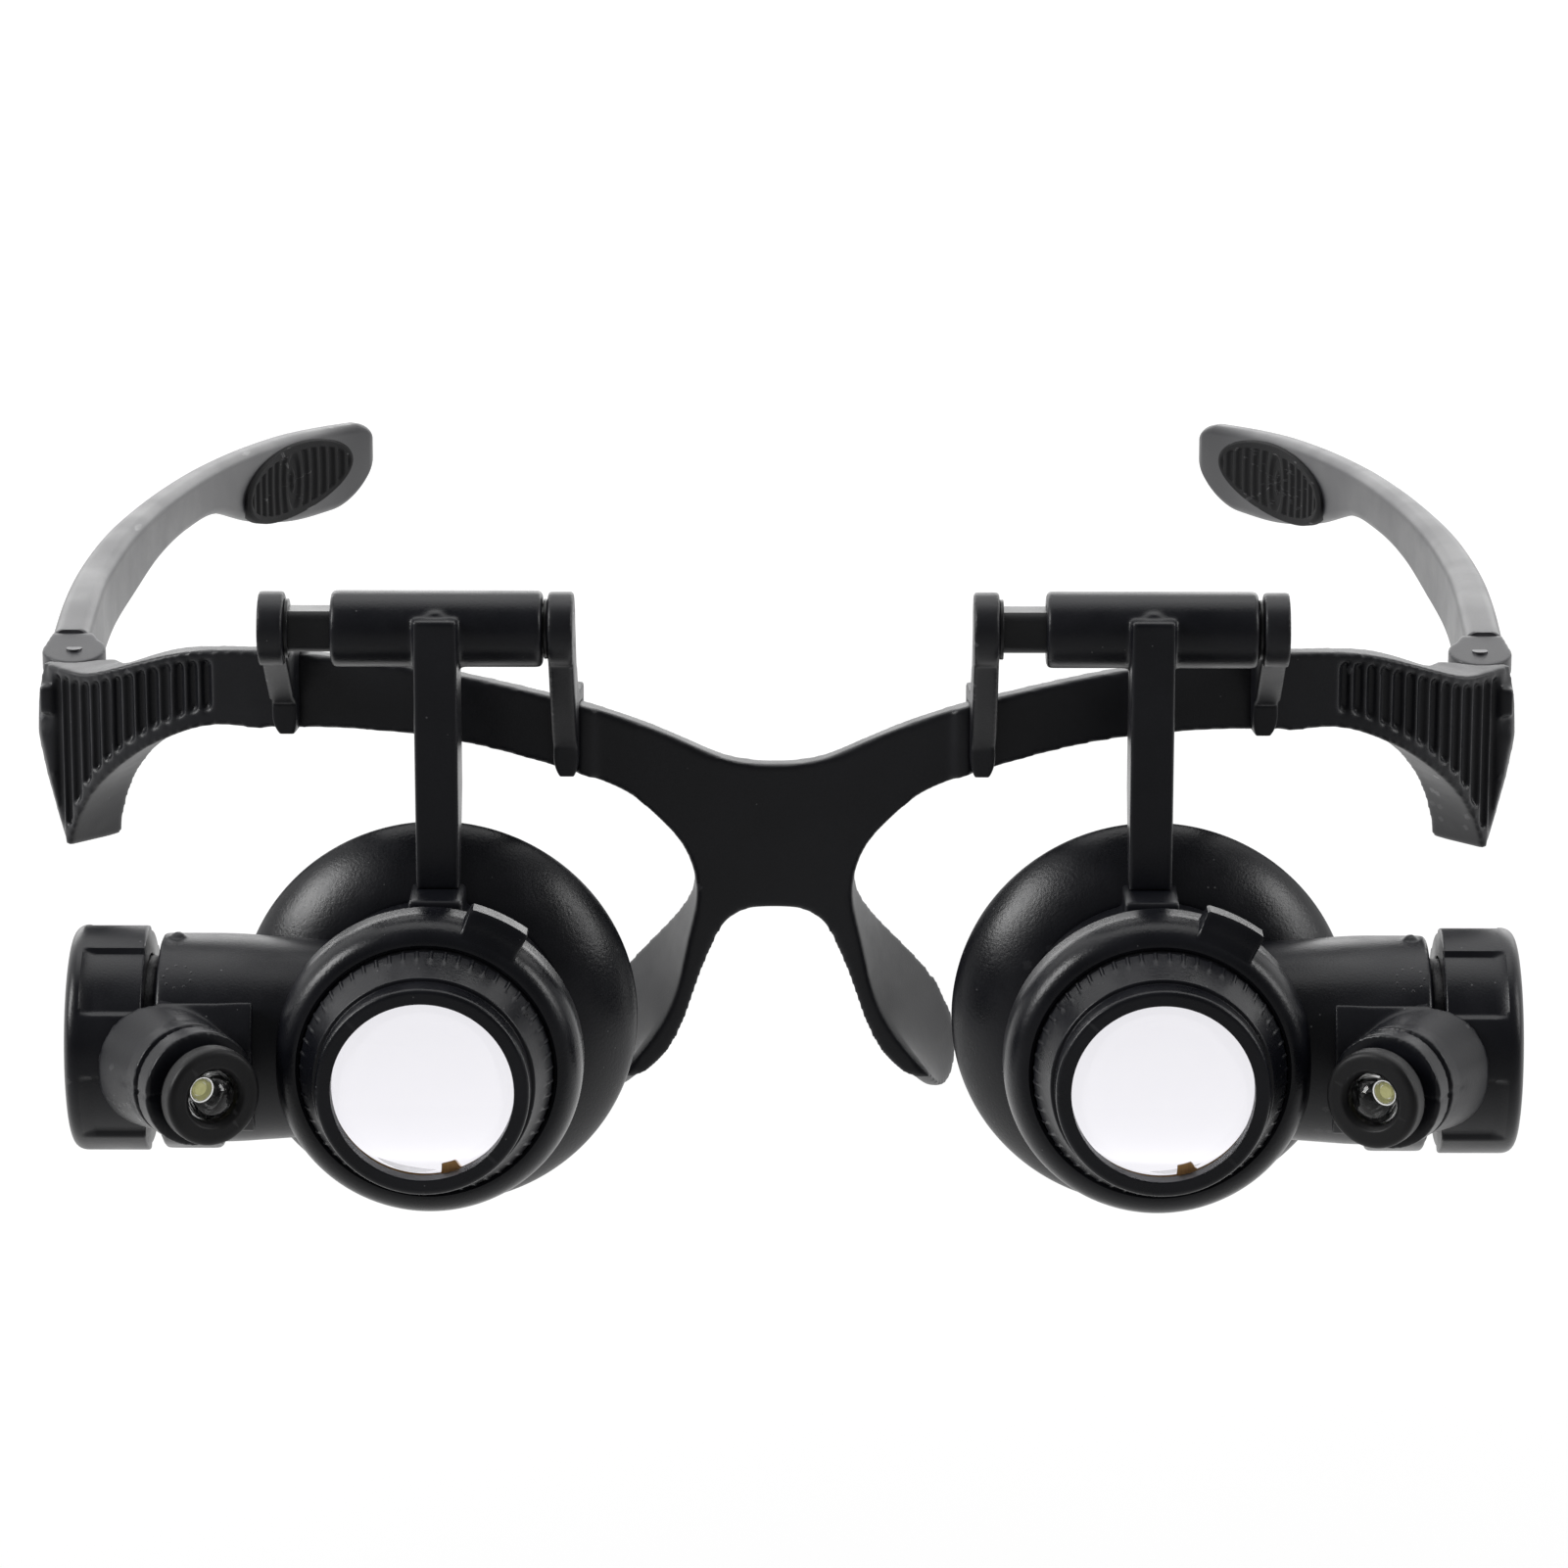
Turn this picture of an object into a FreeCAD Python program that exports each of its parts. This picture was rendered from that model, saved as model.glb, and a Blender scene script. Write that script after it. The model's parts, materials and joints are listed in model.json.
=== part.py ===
# Loupe glasses with a lamp on each side. Millimetres, +Z up, +Y towards the wearer's ears.
# The origin is on the underside of the nose arch, halfway through the bar. +X is the wearer's left.
import FreeCAD, Part
import math
import os

Vec = FreeCAD.Vector
ORIGIN = Vec(0, 0, 0)
X = Vec(1, 0, 0)
Y = Vec(0, 1, 0)
Z = Vec(0, 0, 1)
QUARTER_TURN = 90.0
HALF_TURN = 180.0
FULL_TURN = 360.0

# Clearances
running_gap = 0.05      # between a pin or sleeve and its bore
face_gap = 0.3          # between faces of pieces that move past each other
overrun = 1.0           # how far a cutting tool reaches past what it cuts

# Brow bar: a plate bent round the face, its outline as shares of its reach and its height
half_width = 74.4
bar_wall = 2.4
wrap_radius = 270.0
corner_reach = 16.9      # from the start of the tight corner to the outermost edge
corner_radius = 28.0
end_reach = 24.4         # from the start of the flare to the outermost edge
brow_top = 24.7
wrap_end_x = half_width - corner_reach
brow_reach = half_width - end_reach
brow_upper_shares = ((0.0, 0.584), (0.096, 0.607), (0.173, 0.672), (0.269, 0.751), (0.38, 0.822),
                     (0.46, 0.861), (0.606, 0.923), (0.8, 0.975), (1.0, 1.0))
brow_lower_shares = ((1.0, 0.686), (0.914, 0.693), (0.608, 0.654), (0.39, 0.543), (0.291, 0.466),
                     (0.228, 0.362), (0.182, 0.254), (0.16, 0.15), (0.154, 0.03), (0.164, -0.09))
arch_shares = ((0.106, -0.09), (0.092, -0.055), (0.066, -0.02), (0.0, 0.0))
step_wall = 0.4
step_width = 1.5

# Nose wings: level sections, as shares of the wing's reach, drop and depth
wing_reach = 18.4
wing_drop = 17.8
wing_depth = 10.8
wing_shares = (          # height, front inner x, front outer x, rear outer x, rear inner x, depth
    (0.17, 0.34, 0.43, 0.43, 0.34, 0.21), (-0.12, 0.285, 0.445, 0.53, 0.41, 0.57),
    (-0.40, 0.395, 0.50, 0.74, 0.64, 0.89), (-0.66, 0.48, 0.59, 0.92, 0.825, 1.0),
    (-0.865, 0.59, 0.73, 0.995, 0.89, 0.94), (-1.0, 0.76, 0.84, 0.945, 0.89, 0.71))

# End flares: upright sections square to the bend, as shares of length, brow height and wall
side_wall = 3.2
flare_reach = half_width - side_wall
flare_wall = 6.8
flare_shares = (         # along the flare, top, bottom, wall
    (-0.001, 1.0, 0.686, 0.353), (0.164, 0.996, 0.684, 0.353), (0.328, 0.986, 0.672, 0.41),
    (0.481, 0.9615, 0.6215, 0.53), (0.614, 0.925, 0.557, 0.65), (0.745, 0.883, 0.466, 0.765),
    (0.849, 0.850, 0.372, 0.87), (0.933, 0.834, 0.259, 0.94), (1.0, 0.836, 0.093, 1.0))
side_shares = (          # height, ribbed face's edge and outermost edge across the side wall
    (0.093, 0.094, 0.209), (0.219, 0.233, 0.465), (0.38, 0.303, 0.767),
    (0.547, 0.372, 1.0), (0.676, 0.581, 0.977), (0.836, 0.581, 0.767))
side_bevel = 0.5
groove_count = 14
groove_share = 0.68      # of the pitch
groove_depth = 0.7
groove_band = 17.0
groove_past = 1.4        # how far the ribs run on past the flare
groove_end_x = flare_reach + groove_past
groove_start_x = groove_end_x - groove_band
groove_rim = 1.7
groove_lip = 0.9

# Temple hinge: the block's fork turns round the frame's tongue on an upright screw
hinge_inset = 3.4
hinge_setback = 7.0      # behind the front face at the flare's end
hinge_x = half_width - hinge_inset
nose_radius = 3.2
tongue_radius = 2.9
tongue_low = 15.7
tongue_height = 2.9
block_low = 13.2
block_high = 21.8
block_length = 4.2       # from the pin to the block's rear face
block_rear_width = 4.0
block_rear_x = hinge_x + 0.6
screw_radius = 0.8
screw_head_radius = 1.5
screw_head_height = 0.9
screw_slot = 0.4
screw_tip_gap = 0.6

# Temple arm: sections square to its path
arm_length = 113.0
arm_inset = 2.5          # from the outermost edge of the front to the arm's middle
arm_widest_x = half_width - arm_inset
arm_wall = 3.9
arm_crest = 23.9
arm_shares = (           # x, along the arm, wall, top, bottom
    (0.997, 0.0, 1.0, 0.925, 0.586), (1.0, 0.101, 1.0, 0.962, 0.636),
    (1.0, 0.234, 0.95, 0.975, 0.665), (0.9875, 0.34, 0.90, 0.995, 0.695),
    (0.965, 0.455, 0.82, 1.0, 0.749), (0.936, 0.57, 0.77, 0.992, 0.766),
    (0.9026, 0.677, 0.74, 0.975, 0.736), (0.851, 0.792, 0.74, 0.954, 0.577),
    (0.801, 0.88, 0.77, 0.929, 0.498), (0.7455, 0.951, 0.74, 0.90, 0.485),
    (0.6885, 1.0, 0.56, 0.845, 0.586))
arm_tip_round = 2.4
tip_turn = 60.0          # degrees of arc at each corner of the tip
tip_steps = 4
pad_from_tip = 17.0
pad_z = 17.3
pad_half_length = 13.6
pad_half_height = 4.3
pad_depth = 0.8
pad_proud = 0.35
pad_grooves = 13
pad_groove_share = 0.5
pad_groove_floor = 0.1
pad_border = 0.9

# Slide rod and its two lugs
rod_y = -8.2
rod_z = 29.8
rod_radius = 2.4
rod_flat = 2.0
collar_radius = 2.9
collar_width = 0.4
stub_radius = 1.6
lug_inner_x = 20.5
lug_inset = 1.6          # from the outer lug's middle to the start of the flare
lug_outer_x = brow_reach - lug_inset
lug_wall = 2.5
lug_head_radius = 3.6
lug_front = 1.7
lug_rear = 1.3
lug_top = 1.2
lug_lip = 0.8
lug_neck_share = 0.62    # how far down the bar's face the neck's front meets the clip
lug_knee = 0.8           # how far in front of the clip the plate turns square to the bar

# Loupe arm, measured from the sleeve's middle
pupil_travel = 4.0
sleeve_length = (lug_outer_x - lug_inner_x - lug_wall - 2 * collar_width - pupil_travel
                 - 4 * running_gap)
sleeve_radius = 3.7
loupe_arm_width = 4.2
loupe_arm_front = -13.0
loupe_arm_rear = -5.6
loupe_arm_top = 31.6
loupe_arm_foot = 5.0
loupe_foot_rear = -10.5
loupe_arm_waist = 13.5
loupe_arm_round = 0.9
sleeve_round = 0.5

# Loupe body: holder ring and battery tube
loupe_offset = 0.6
loupe_z = -9.9
holder_radius = 13.2
holder_rear = -10.4
holder_front = -18.7
spigot_radius = 12.2
spigot_front = -24.2
holder_bore = 10.0
cup_seat_radius = 10.9
cup_seat_depth = 2.0
foot_half_width = 2.6
foot_front = -17.2
tube_y = -13.2
tube_radius = 10.15
tube_end = 26.2
root_radius = 9.3
root_start = 9.0
root_end = 19.0
neck_radius = 8.0
neck_end = 31.75
cell_bore = 6.1
cell_bore_start = 20.6
nub_radius = 0.6
nub_height = 0.5
nub_u = 24.6

# Eyecup
cup_rim_radius = 19.6
cup_rim_y = -5.0
cup_wall = 1.5
cup_bore = 9.4

# Lock ring
lock_radius = 14.9
lock_rear = -18.9
lock_front = -24.4
lock_round = 1.4
tab_angle = 64.0
tab_width = 5.7
tab_height = 1.2

# Lens tube, lens and retaining ring
tube_spigot_rear = -12.6
cone_rear = -24.7
cone_front = -28.7
cone_rear_radius = 11.9
cone_front_radius = 10.6
bezel_front = -31.2
bezel_radius = 10.2
bezel_round = 0.7
aperture_radius = 8.7
lens_radius = 9.05
lens_edge_front = -29.4
lens_edge = 2.0
lens_curve = 32.0
ring_width = 1.0
ring_inner = 8.2
ring_notch_angle = -72.0
ring_notch_width = 1.6
ring_notch_height = 0.9
tube_bore = 8.6
rib_count = 44
rib_groove_share = 0.45
rib_groove_depth = 0.5

# Battery cap and what it closes
cap_radius = 10.95
cap_gap = 1.2
cap_length = 8.0
cap_wall = 1.8
cap_round = 2.2
cap_mouth_radius = 9.2
cap_chamfer = 1.4
cap_recesses = 5
recess_angle = 36.0
recess_phase = -42.0     # of the first recess, from the top towards the front
recess_depth = 0.45
recess_margin = 2.0
contact_radius = 7.0
contact_wall = 0.5
stud_radius = 1.5
stud_length = 0.9
cell_count = 3
cell_radius = 5.8
cell_height = 3.05
cell_step_radius = 4.6
cell_step = 0.35
leaf_wall = 0.3
leaf_width = 5.0
strip_wall = 0.3
strip_width = 2.6

# Lamp bracket, holder and lamp
clip_wall = 1.25
clip_start = 20.4
clip_end = 25.9
saddle_start = 16.7
saddle_rise = 34.0
saddle_fall = 36.0
clip_wrap = 212.0
pivot_u = 22.35
pivot_out = 14.6
lamp_yaw = 30.0
socket_radius = 5.6
socket_rear = 3.0
socket_front = 2.6
socket_groove = 0.6
socket_groove_depth = 0.55
socket_slit = 0.5
funnel_length = 7.0
funnel_radius = 6.6
ball_radius = 3.9
holder_neck_radius = 3.0
holder_ring_radius = 5.0
holder_ring_start = 3.8
holder_ring_end = 6.6
holder_ring_round = 0.8
led_radius = 2.5
led_base = -1.6
led_tip = 6.3
led_flange_radius = 2.9
led_flange = 0.9
led_leg = 0.5
led_leg_length = 1.6
led_leg_gap = 2.54
dish_radius = 3.9
dish_depth = 1.3

parts = {}


# Small builders

def round_bar(radius, length, base, axis):
    return Part.makeCylinder(radius, length, base, axis)


def prism(points, sweep):
    wire = Part.makePolygon(list(points) + [points[0]])
    return Part.Face(wire).extrude(sweep)


def block(x0, x1, y0, y1, z0, z1):
    return Part.makeBox(x1 - x0, y1 - y0, z1 - z0, Vec(x0, y0, z0))


def turned(points, centre, axis):
    # A closed profile turned once round the axis
    wire = Part.makePolygon(list(points) + [points[0]])
    return Part.Face(wire).revolve(centre, axis, FULL_TURN)


def turned_on_y(pairs, x, z):
    # pairs are (radius, y)
    return turned([Vec(x + r, y, z) for r, y in pairs], Vec(x, 0, z), Y)


def turned_on_x(pairs, y, z):
    # pairs are (radius, x)
    return turned([Vec(u, y, z + r) for r, u in pairs], Vec(0, y, z), X)


def loft(rings):
    return Part.makeLoft([Part.makePolygon(ring + [ring[0]]) for ring in rings], True, False)


def faceted(rings):
    return Part.makeLoft([Part.makePolygon(ring + [ring[0]]) for ring in rings], True, True)


def mirrored(shape):
    return shape.mirror(ORIGIN, X)


def arc_points(centre_r, centre_y, radius, start, end, steps):
    # Points on an arc in (radius, y) terms
    angles = [math.radians(start + (end - start) * i / steps) for i in range(steps + 1)]
    return [(centre_r + radius * math.cos(a), centre_y + radius * math.sin(a)) for a in angles]


def single(shape):
    solid = shape.removeSplitter()
    return solid.Solids[0] if len(solid.Solids) == 1 else solid


# The bend of the front in plan: a wide arc, then a tight corner

front_y = -bar_wall / 2


def bend(x):
    # Front face's y and its turn in radians, for x at or right of the middle
    turn_end = math.asin(wrap_end_x / wrap_radius)
    if x <= wrap_end_x:
        turn = math.asin(x / wrap_radius)
        return front_y + wrap_radius * (1 - math.cos(turn)), turn
    turn = math.asin(math.sin(turn_end) + (x - wrap_end_x) / corner_radius)
    y = front_y + wrap_radius * (1 - math.cos(turn_end))
    return y + corner_radius * (math.cos(turn_end) - math.cos(turn)), turn


def on_front(x, z, inward=0.0):
    y, turn = bend(x)
    return Vec(x - inward * math.sin(turn), y + inward * math.cos(turn), z)


hinge_y = bend(flare_reach)[0] + hinge_setback
block_rear_y = hinge_y + block_length
arm_tip_y = block_rear_y + arm_length
pad_y = arm_tip_y - pad_from_tip


def mix(table, x, column):
    # Straight-line value of a column at x, in a table sorted by its first column
    for low, high in zip(table, table[1:]):
        if x <= high[0] or high is table[-1]:
            share = (x - low[0]) / (high[0] - low[0])
            return low[column] + share * (high[column] - low[column])
    return table[-1][column]


def brow_outline():
    def point(pair, side):
        return Vec(side * pair[0] * brow_reach, -wing_depth, pair[1] * brow_top)

    def curve(points):
        spline = Part.BSplineCurve()
        spline.interpolate(points)
        return spline.toShape()

    upper = [point(p, -1) for p in reversed(brow_upper_shares[1:])]
    upper += [point(p, 1) for p in brow_upper_shares]
    lower_left = [point(p, 1) for p in brow_lower_shares]
    arch = [point(p, 1) for p in arch_shares] + [point(p, -1) for p in reversed(arch_shares[:-1])]
    lower_right = [point(p, -1) for p in reversed(brow_lower_shares)]
    edges = [curve(upper), Part.makeLine(upper[-1], lower_left[0]), curve(lower_left),
             Part.makeLine(lower_left[-1], arch[0]), curve(arch),
             Part.makeLine(arch[-1], lower_right[0]), curve(lower_right),
             Part.makeLine(lower_right[-1], upper[0])]
    return Part.Face(Part.Wire(edges)).extrude(Y * (wing_depth + flare_reach))


def bent_shell(outside, inside):
    # A band of the wide arc, from outside the front face to inside it
    centre = Vec(0, front_y + wrap_radius, -brow_reach)
    band = round_bar(wrap_radius + outside, brow_reach * 2, centre, Z)
    return band.cut(round_bar(wrap_radius - inside, brow_reach * 2, centre, Z))


def brow_bar():
    outline = brow_outline()
    bar = outline.common(bent_shell(0, bar_wall))
    step_end = lug_inner_x - lug_wall / 2
    step = outline.common(bent_shell(step_wall, bar_wall / 2))
    for side in (-1, 1):
        ends = sorted((side * (step_end - step_width), side * step_end))
        bar = bar.fuse(step.common(block(ends[0], ends[1], -wing_depth, wing_depth, 0, brow_top)))
    return bar


def nose_wing():
    rings = []
    for height, front_in, front_out, rear_out, rear_in, depth in wing_shares:
        z = height * wing_drop
        rear_y = front_y + depth * wing_depth
        rings.append([Vec(front_in * wing_reach, bend(front_in * wing_reach)[0], z),
                      Vec(front_out * wing_reach, bend(front_out * wing_reach)[0], z),
                      Vec(rear_out * wing_reach, rear_y, z), Vec(rear_in * wing_reach, rear_y, z)])
    return loft(rings)


def flare_table():
    length = flare_reach - brow_reach
    return [(brow_reach + along * length, top * brow_top, low * brow_top, wall * flare_wall)
            for along, top, low, wall in flare_shares]


def flare():
    rings = []
    for x, top, low, wall in flare_table():
        rings.append([on_front(x, low), on_front(x, top), on_front(x, top, wall),
                      on_front(x, low, wall)])
    return loft(rings)


def end_block():
    # The flare's outer side, in level sections
    rings = []
    hinge_limit = hinge_y - nose_radius - face_gap
    for height, face_share, outer_share in side_shares:
        z = height * brow_top
        face_x = flare_reach + face_share * side_wall
        outer_x = flare_reach + outer_share * side_wall
        face = on_front(face_x, z)
        start = on_front(flare_reach, z)
        back = on_front(flare_reach, z, flare_wall)
        rings.append([start, face, Vec(outer_x - side_bevel, face.y + side_bevel, z),
                      Vec(outer_x, max(face.y, hinge_limit - 2 * side_bevel) + side_bevel, z),
                      Vec(outer_x - side_bevel, hinge_limit + side_bevel, z), back])
    return faceted(rings)


def grooves():
    # Upright grooves that follow the bend, from the lower rim to the top lip
    table = flare_table()
    start_y, start_turn = bend(groove_start_x)
    end_turn = bend(groove_end_x)[1]
    wide_part = (bend(wrap_end_x)[1] - start_turn) * wrap_radius
    tight_part = (end_turn - bend(wrap_end_x)[1]) * corner_radius
    pitch = (wide_part + tight_part) / groove_count

    def x_at(distance):
        if distance <= wide_part:
            return wrap_radius * math.sin(start_turn + distance / wrap_radius)
        turn = bend(wrap_end_x)[1] + (distance - wide_part) / corner_radius
        return wrap_end_x + corner_radius * (math.sin(turn) - math.sin(bend(wrap_end_x)[1]))

    cutters = []
    for index in range(groove_count):
        left = x_at(pitch * (index + (1 - groove_share) / 2))
        right = x_at(pitch * (index + (1 + groove_share) / 2))
        outer_low = []
        outer_top = []
        for x in (left, right):
            table_x = min(x, flare_reach)
            outer_low.append(on_front(x, mix(table, table_x, 2) + groove_rim, -overrun))
            outer_top.append(on_front(x, mix(table, table_x, 1) - groove_lip, -overrun))
        turn = bend((left + right) / 2)[1]
        inwards = Vec(-math.sin(turn), math.cos(turn), 0)
        corners = [outer_low[0], outer_low[1], outer_top[1], outer_top[0]]
        cutters.append(prism(corners, inwards * (overrun + groove_depth)))
    return Part.makeCompound(cutters)


def hinge_tongue():
    low = Vec(hinge_x, hinge_y, tongue_low)
    eye = round_bar(tongue_radius, tongue_height, low, Z)
    root_y = hinge_y - nose_radius - face_gap - bar_wall
    shank = block(hinge_x - tongue_radius, hinge_x + tongue_radius, root_y, hinge_y,
                  tongue_low, tongue_low + tongue_height)
    return eye.fuse(shank).cut(round_bar(screw_radius + running_gap, tongue_height, low, Z))


def frame_side():
    side = flare().fuse(end_block())
    clear_low = block_low - face_gap
    room = round_bar(nose_radius + face_gap, brow_top, Vec(hinge_x, hinge_y, clear_low), Z)
    return side.cut(room).fuse(hinge_tongue()).cut(grooves()).fuse(nose_wing())


def front_frame():
    side = frame_side()
    return single(brow_bar().fuse([side, mirrored(side)]))


# Temple: hinge block, screw, arm and ear pad, on the wearer's left

def hinge_block():
    height = block_high - block_low
    half = block_rear_width / 2
    nose = round_bar(nose_radius, height, Vec(hinge_x, hinge_y, block_low), Z)
    body = prism([Vec(hinge_x - nose_radius, hinge_y, block_low),
                  Vec(block_rear_x - half, block_rear_y, block_low),
                  Vec(block_rear_x + half, block_rear_y, block_low),
                  Vec(hinge_x + nose_radius, hinge_y, block_low)], Z * height)
    slot_low = tongue_low - face_gap
    slot_height = tongue_height + 2 * face_gap
    slot = round_bar(tongue_radius + face_gap, slot_height, Vec(hinge_x, hinge_y, slot_low), Z)
    reach = nose_radius * 2
    sweep = prism([Vec(hinge_x + tongue_radius + face_gap, hinge_y, slot_low),
                   Vec(hinge_x + tongue_radius + face_gap, hinge_y - reach, slot_low),
                   Vec(hinge_x - reach, hinge_y - reach, slot_low),
                   Vec(hinge_x - reach, hinge_y + tongue_radius + face_gap, slot_low),
                   Vec(hinge_x, hinge_y + tongue_radius + face_gap, slot_low)], Z * slot_height)
    shape = nose.fuse(body).cut(slot).cut(sweep)
    depth = block_high - screw_tip_gap - block_low
    bore = round_bar(screw_radius, depth, Vec(hinge_x, hinge_y, block_low), Z)
    seat = round_bar(screw_head_radius, screw_head_height, Vec(hinge_x, hinge_y, block_low), Z)
    return single(shape.cut(bore).cut(seat))


def hinge_screw():
    depth = block_high - screw_tip_gap - block_low
    shank = round_bar(screw_radius, depth, Vec(hinge_x, hinge_y, block_low), Z)
    head = round_bar(screw_head_radius, screw_head_height, Vec(hinge_x, hinge_y, block_low), Z)
    half = screw_slot / 2
    slot = block(hinge_x - screw_head_radius, hinge_x + screw_head_radius, hinge_y - half,
                 hinge_y + half, block_low - overrun, block_low + screw_slot)
    return single(shank.fuse(head).cut(slot))


def arm_path():
    return [(x * arm_widest_x, block_rear_y + along * arm_length, wall * arm_wall, top * arm_crest,
             low * arm_crest) for x, along, wall, top, low in arm_shares]


def arm_solid():
    path = arm_path()
    rings = []
    for index, (x, y, wall, top, low) in enumerate(path):
        before = path[max(index - 1, 0)]
        after = path[min(index + 1, len(path) - 1)]
        along = Vec(after[0] - before[0], after[1] - before[1], 0).normalize()
        if index == 0:
            along = Vec(0, 1, 0)
        outwards = Vec(along.y, -along.x, 0)
        outer = Vec(x, y, 0) + outwards * (wall / 2)
        inner = Vec(x, y, 0) - outwards * (wall / 2)
        rings.append([outer + Z * low, outer + Z * top, inner + Z * top, inner + Z * low])
    return loft(rings)


def tip_limit():
    # Upright outline that rounds the upper and lower corners of the arm's tip
    before, tip = arm_path()[-2:]
    along = Vec(tip[0] - before[0], tip[1] - before[1], 0).normalize()
    end = Vec(tip[0], tip[1], 0)
    reach = arm_tip_y
    points = []
    for corner, sign in ((tip[4], -1), (tip[3], 1)):
        angles = [math.radians(tip_turn * step / tip_steps) for step in range(tip_steps + 1)]
        arc = [end + along * (arm_tip_round * (math.cos(a) - 1)) +
               Z * (corner + sign * arm_tip_round * (math.sin(a) - 1)) for a in angles]
        slant = math.radians(tip_turn)
        arc.append(arc[-1] + (Z * (sign * math.cos(slant)) - along * math.sin(slant)) * reach)
        points += arc if sign > 0 else list(reversed(arc))
    across = Vec(-along.y, along.x, 0)
    return prism([point - across * reach for point in points], across * (reach * 2))


def pad_bend():
    # Circle through the arm's inner face beside the pad, in plan: its centre and radius
    path = arm_path()
    nearest = min(range(1, len(path) - 1), key=lambda i: abs(path[i][1] - pad_y))
    along = Vec(path[nearest + 1][0] - path[nearest - 1][0],
                path[nearest + 1][1] - path[nearest - 1][1], 0).normalize()
    points = [Vec(x, y, 0) - Vec(along.y, -along.x, 0) * (wall / 2)
              for x, y, wall, top, low in path[nearest - 1:nearest + 2]]
    circle = Part.Arc(*points).toShape().Curve
    return circle.Center, circle.Radius


def pad_prism(grow):
    # The pad's oval, pushed right through the arm square to its inner face
    middle, radius = pad_bend()
    inwards = Vec(-math.sqrt(radius ** 2 - (pad_y - middle.y) ** 2), middle.y - pad_y, 0) / radius
    along = Vec(-inwards.y, inwards.x, 0)
    centre = Vec(middle.x, middle.y, pad_z) - inwards * radius
    ellipse = Part.Ellipse(ORIGIN, pad_half_length + grow, pad_half_height + grow)
    face = Part.Face(Part.Wire([ellipse.toShape()]))
    turn = FreeCAD.Rotation(along, Z, inwards, "ZXY")
    face.Placement = FreeCAD.Placement(centre - inwards * (pad_half_height * 2), turn)
    return face.extrude(inwards * (pad_half_height * 4)), centre, along, inwards


def pad_shell(outward, inward):
    # Upright band that follows the arm's inner face, from outward behind it to inward before it
    middle, radius = pad_bend()
    low = Vec(middle.x, middle.y, 0)
    outer = round_bar(radius + outward, arm_crest * 2, low, Z)
    return outer.cut(round_bar(radius - inward, arm_crest * 2, low, Z))


def temple_pieces():
    oval, centre, along, inwards = pad_prism(0)
    pad = oval.common(pad_shell(pad_depth, pad_proud))
    arm = arm_solid().cut(oval.common(pad_shell(pad_depth, arm_wall))).common(tip_limit())
    band = pad_prism(-pad_border)[0].common(pad_shell(-pad_groove_floor, pad_proud + overrun))
    pitch = 2 * (pad_half_length - pad_border) / pad_grooves
    width = pitch * pad_groove_share
    for index in range(pad_grooves):
        middle = (index + 0.5 - pad_grooves / 2) * pitch
        corner = centre + along * (middle - width / 2) - inwards * (pad_half_height * 2)
        corner = corner - Z * (pad_half_height * 2)
        slab = prism([corner, corner + along * width, corner + along * width + Z * pad_half_height * 4,
                      corner + Z * pad_half_height * 4], inwards * (pad_half_height * 4))
        pad = pad.cut(slab.common(band))
    return single(arm), single(pad)


# Lugs and slide rod

def lug(x):
    # A hook plate: round head square to the rod, foot square to the bent bar
    y, turn = bend(x)
    reach_share = x / brow_reach
    top = mix(brow_upper_shares, reach_share, 1) * brow_top
    low = mix(tuple(reversed(brow_lower_shares[:4])), reach_share, 1) * brow_top
    front = y - lug_front
    back = y + bar_wall / math.cos(turn) + lug_rear
    wide = lug_wall * 4

    def slab(points):
        return prism([Vec(x - wide, py, pz) for py, pz in points], X * (wide * 2))

    clip = slab([(front, low - lug_lip), (front, top + lug_top), (back, top + lug_top),
                 (back, low - lug_lip)])
    head = round_bar(lug_head_radius, wide * 2, Vec(x - wide, rod_y, rod_z), X)
    neck_low = low + (top - low) * (1 - lug_neck_share)
    neck = slab([(rod_y - lug_head_radius, rod_z), (front, neck_low), (front, top + lug_top),
                 (rod_y + lug_head_radius * 2, top + lug_top), (rod_y + lug_head_radius, rod_z)])
    half = lug_wall / 2
    knee_y = front - lug_knee
    foot_x = x - (back - knee_y) * math.tan(turn)
    strip = prism([Vec(x - half, rod_y - lug_head_radius * 2, 0), Vec(x - half, knee_y, 0),
                   Vec(foot_x - half, back, 0), Vec(foot_x + half, back, 0),
                   Vec(x + half, knee_y, 0), Vec(x + half, rod_y - lug_head_radius * 2, 0)],
                  Z * (rod_z * 2))
    return clip.fuse([head, neck]).common(strip)


def finished_lug(x, bar):
    hole = round_bar(stub_radius + running_gap, lug_wall * 4, Vec(x - lug_wall * 2, rod_y, rod_z), X)
    return single(lug(x).cut(hole).cut(bar))


def flat_sided(radius, flat, length, start):
    bar = round_bar(radius, length, Vec(start, rod_y, rod_z), X)
    return bar.common(block(start, start + length, rod_y - flat, rod_y + flat,
                            rod_z - flat, rod_z + flat))


def slide_rod():
    start = lug_inner_x + lug_wall / 2 + running_gap
    end = lug_outer_x - lug_wall / 2 - running_gap
    rod = flat_sided(rod_radius, rod_flat, end - start, start)
    first = round_bar(collar_radius, collar_width, Vec(start, rod_y, rod_z), X)
    last = round_bar(collar_radius, collar_width, Vec(end - collar_width, rod_y, rod_z), X)
    stub_start = lug_inner_x - lug_wall / 2
    stubs = round_bar(stub_radius, lug_outer_x + lug_wall / 2 - stub_start,
                      Vec(stub_start, rod_y, rod_z), X)
    return single(rod.fuse([first, last, stubs]))


# Loupe pieces. u is measured outwards from the sleeve's middle.

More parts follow.
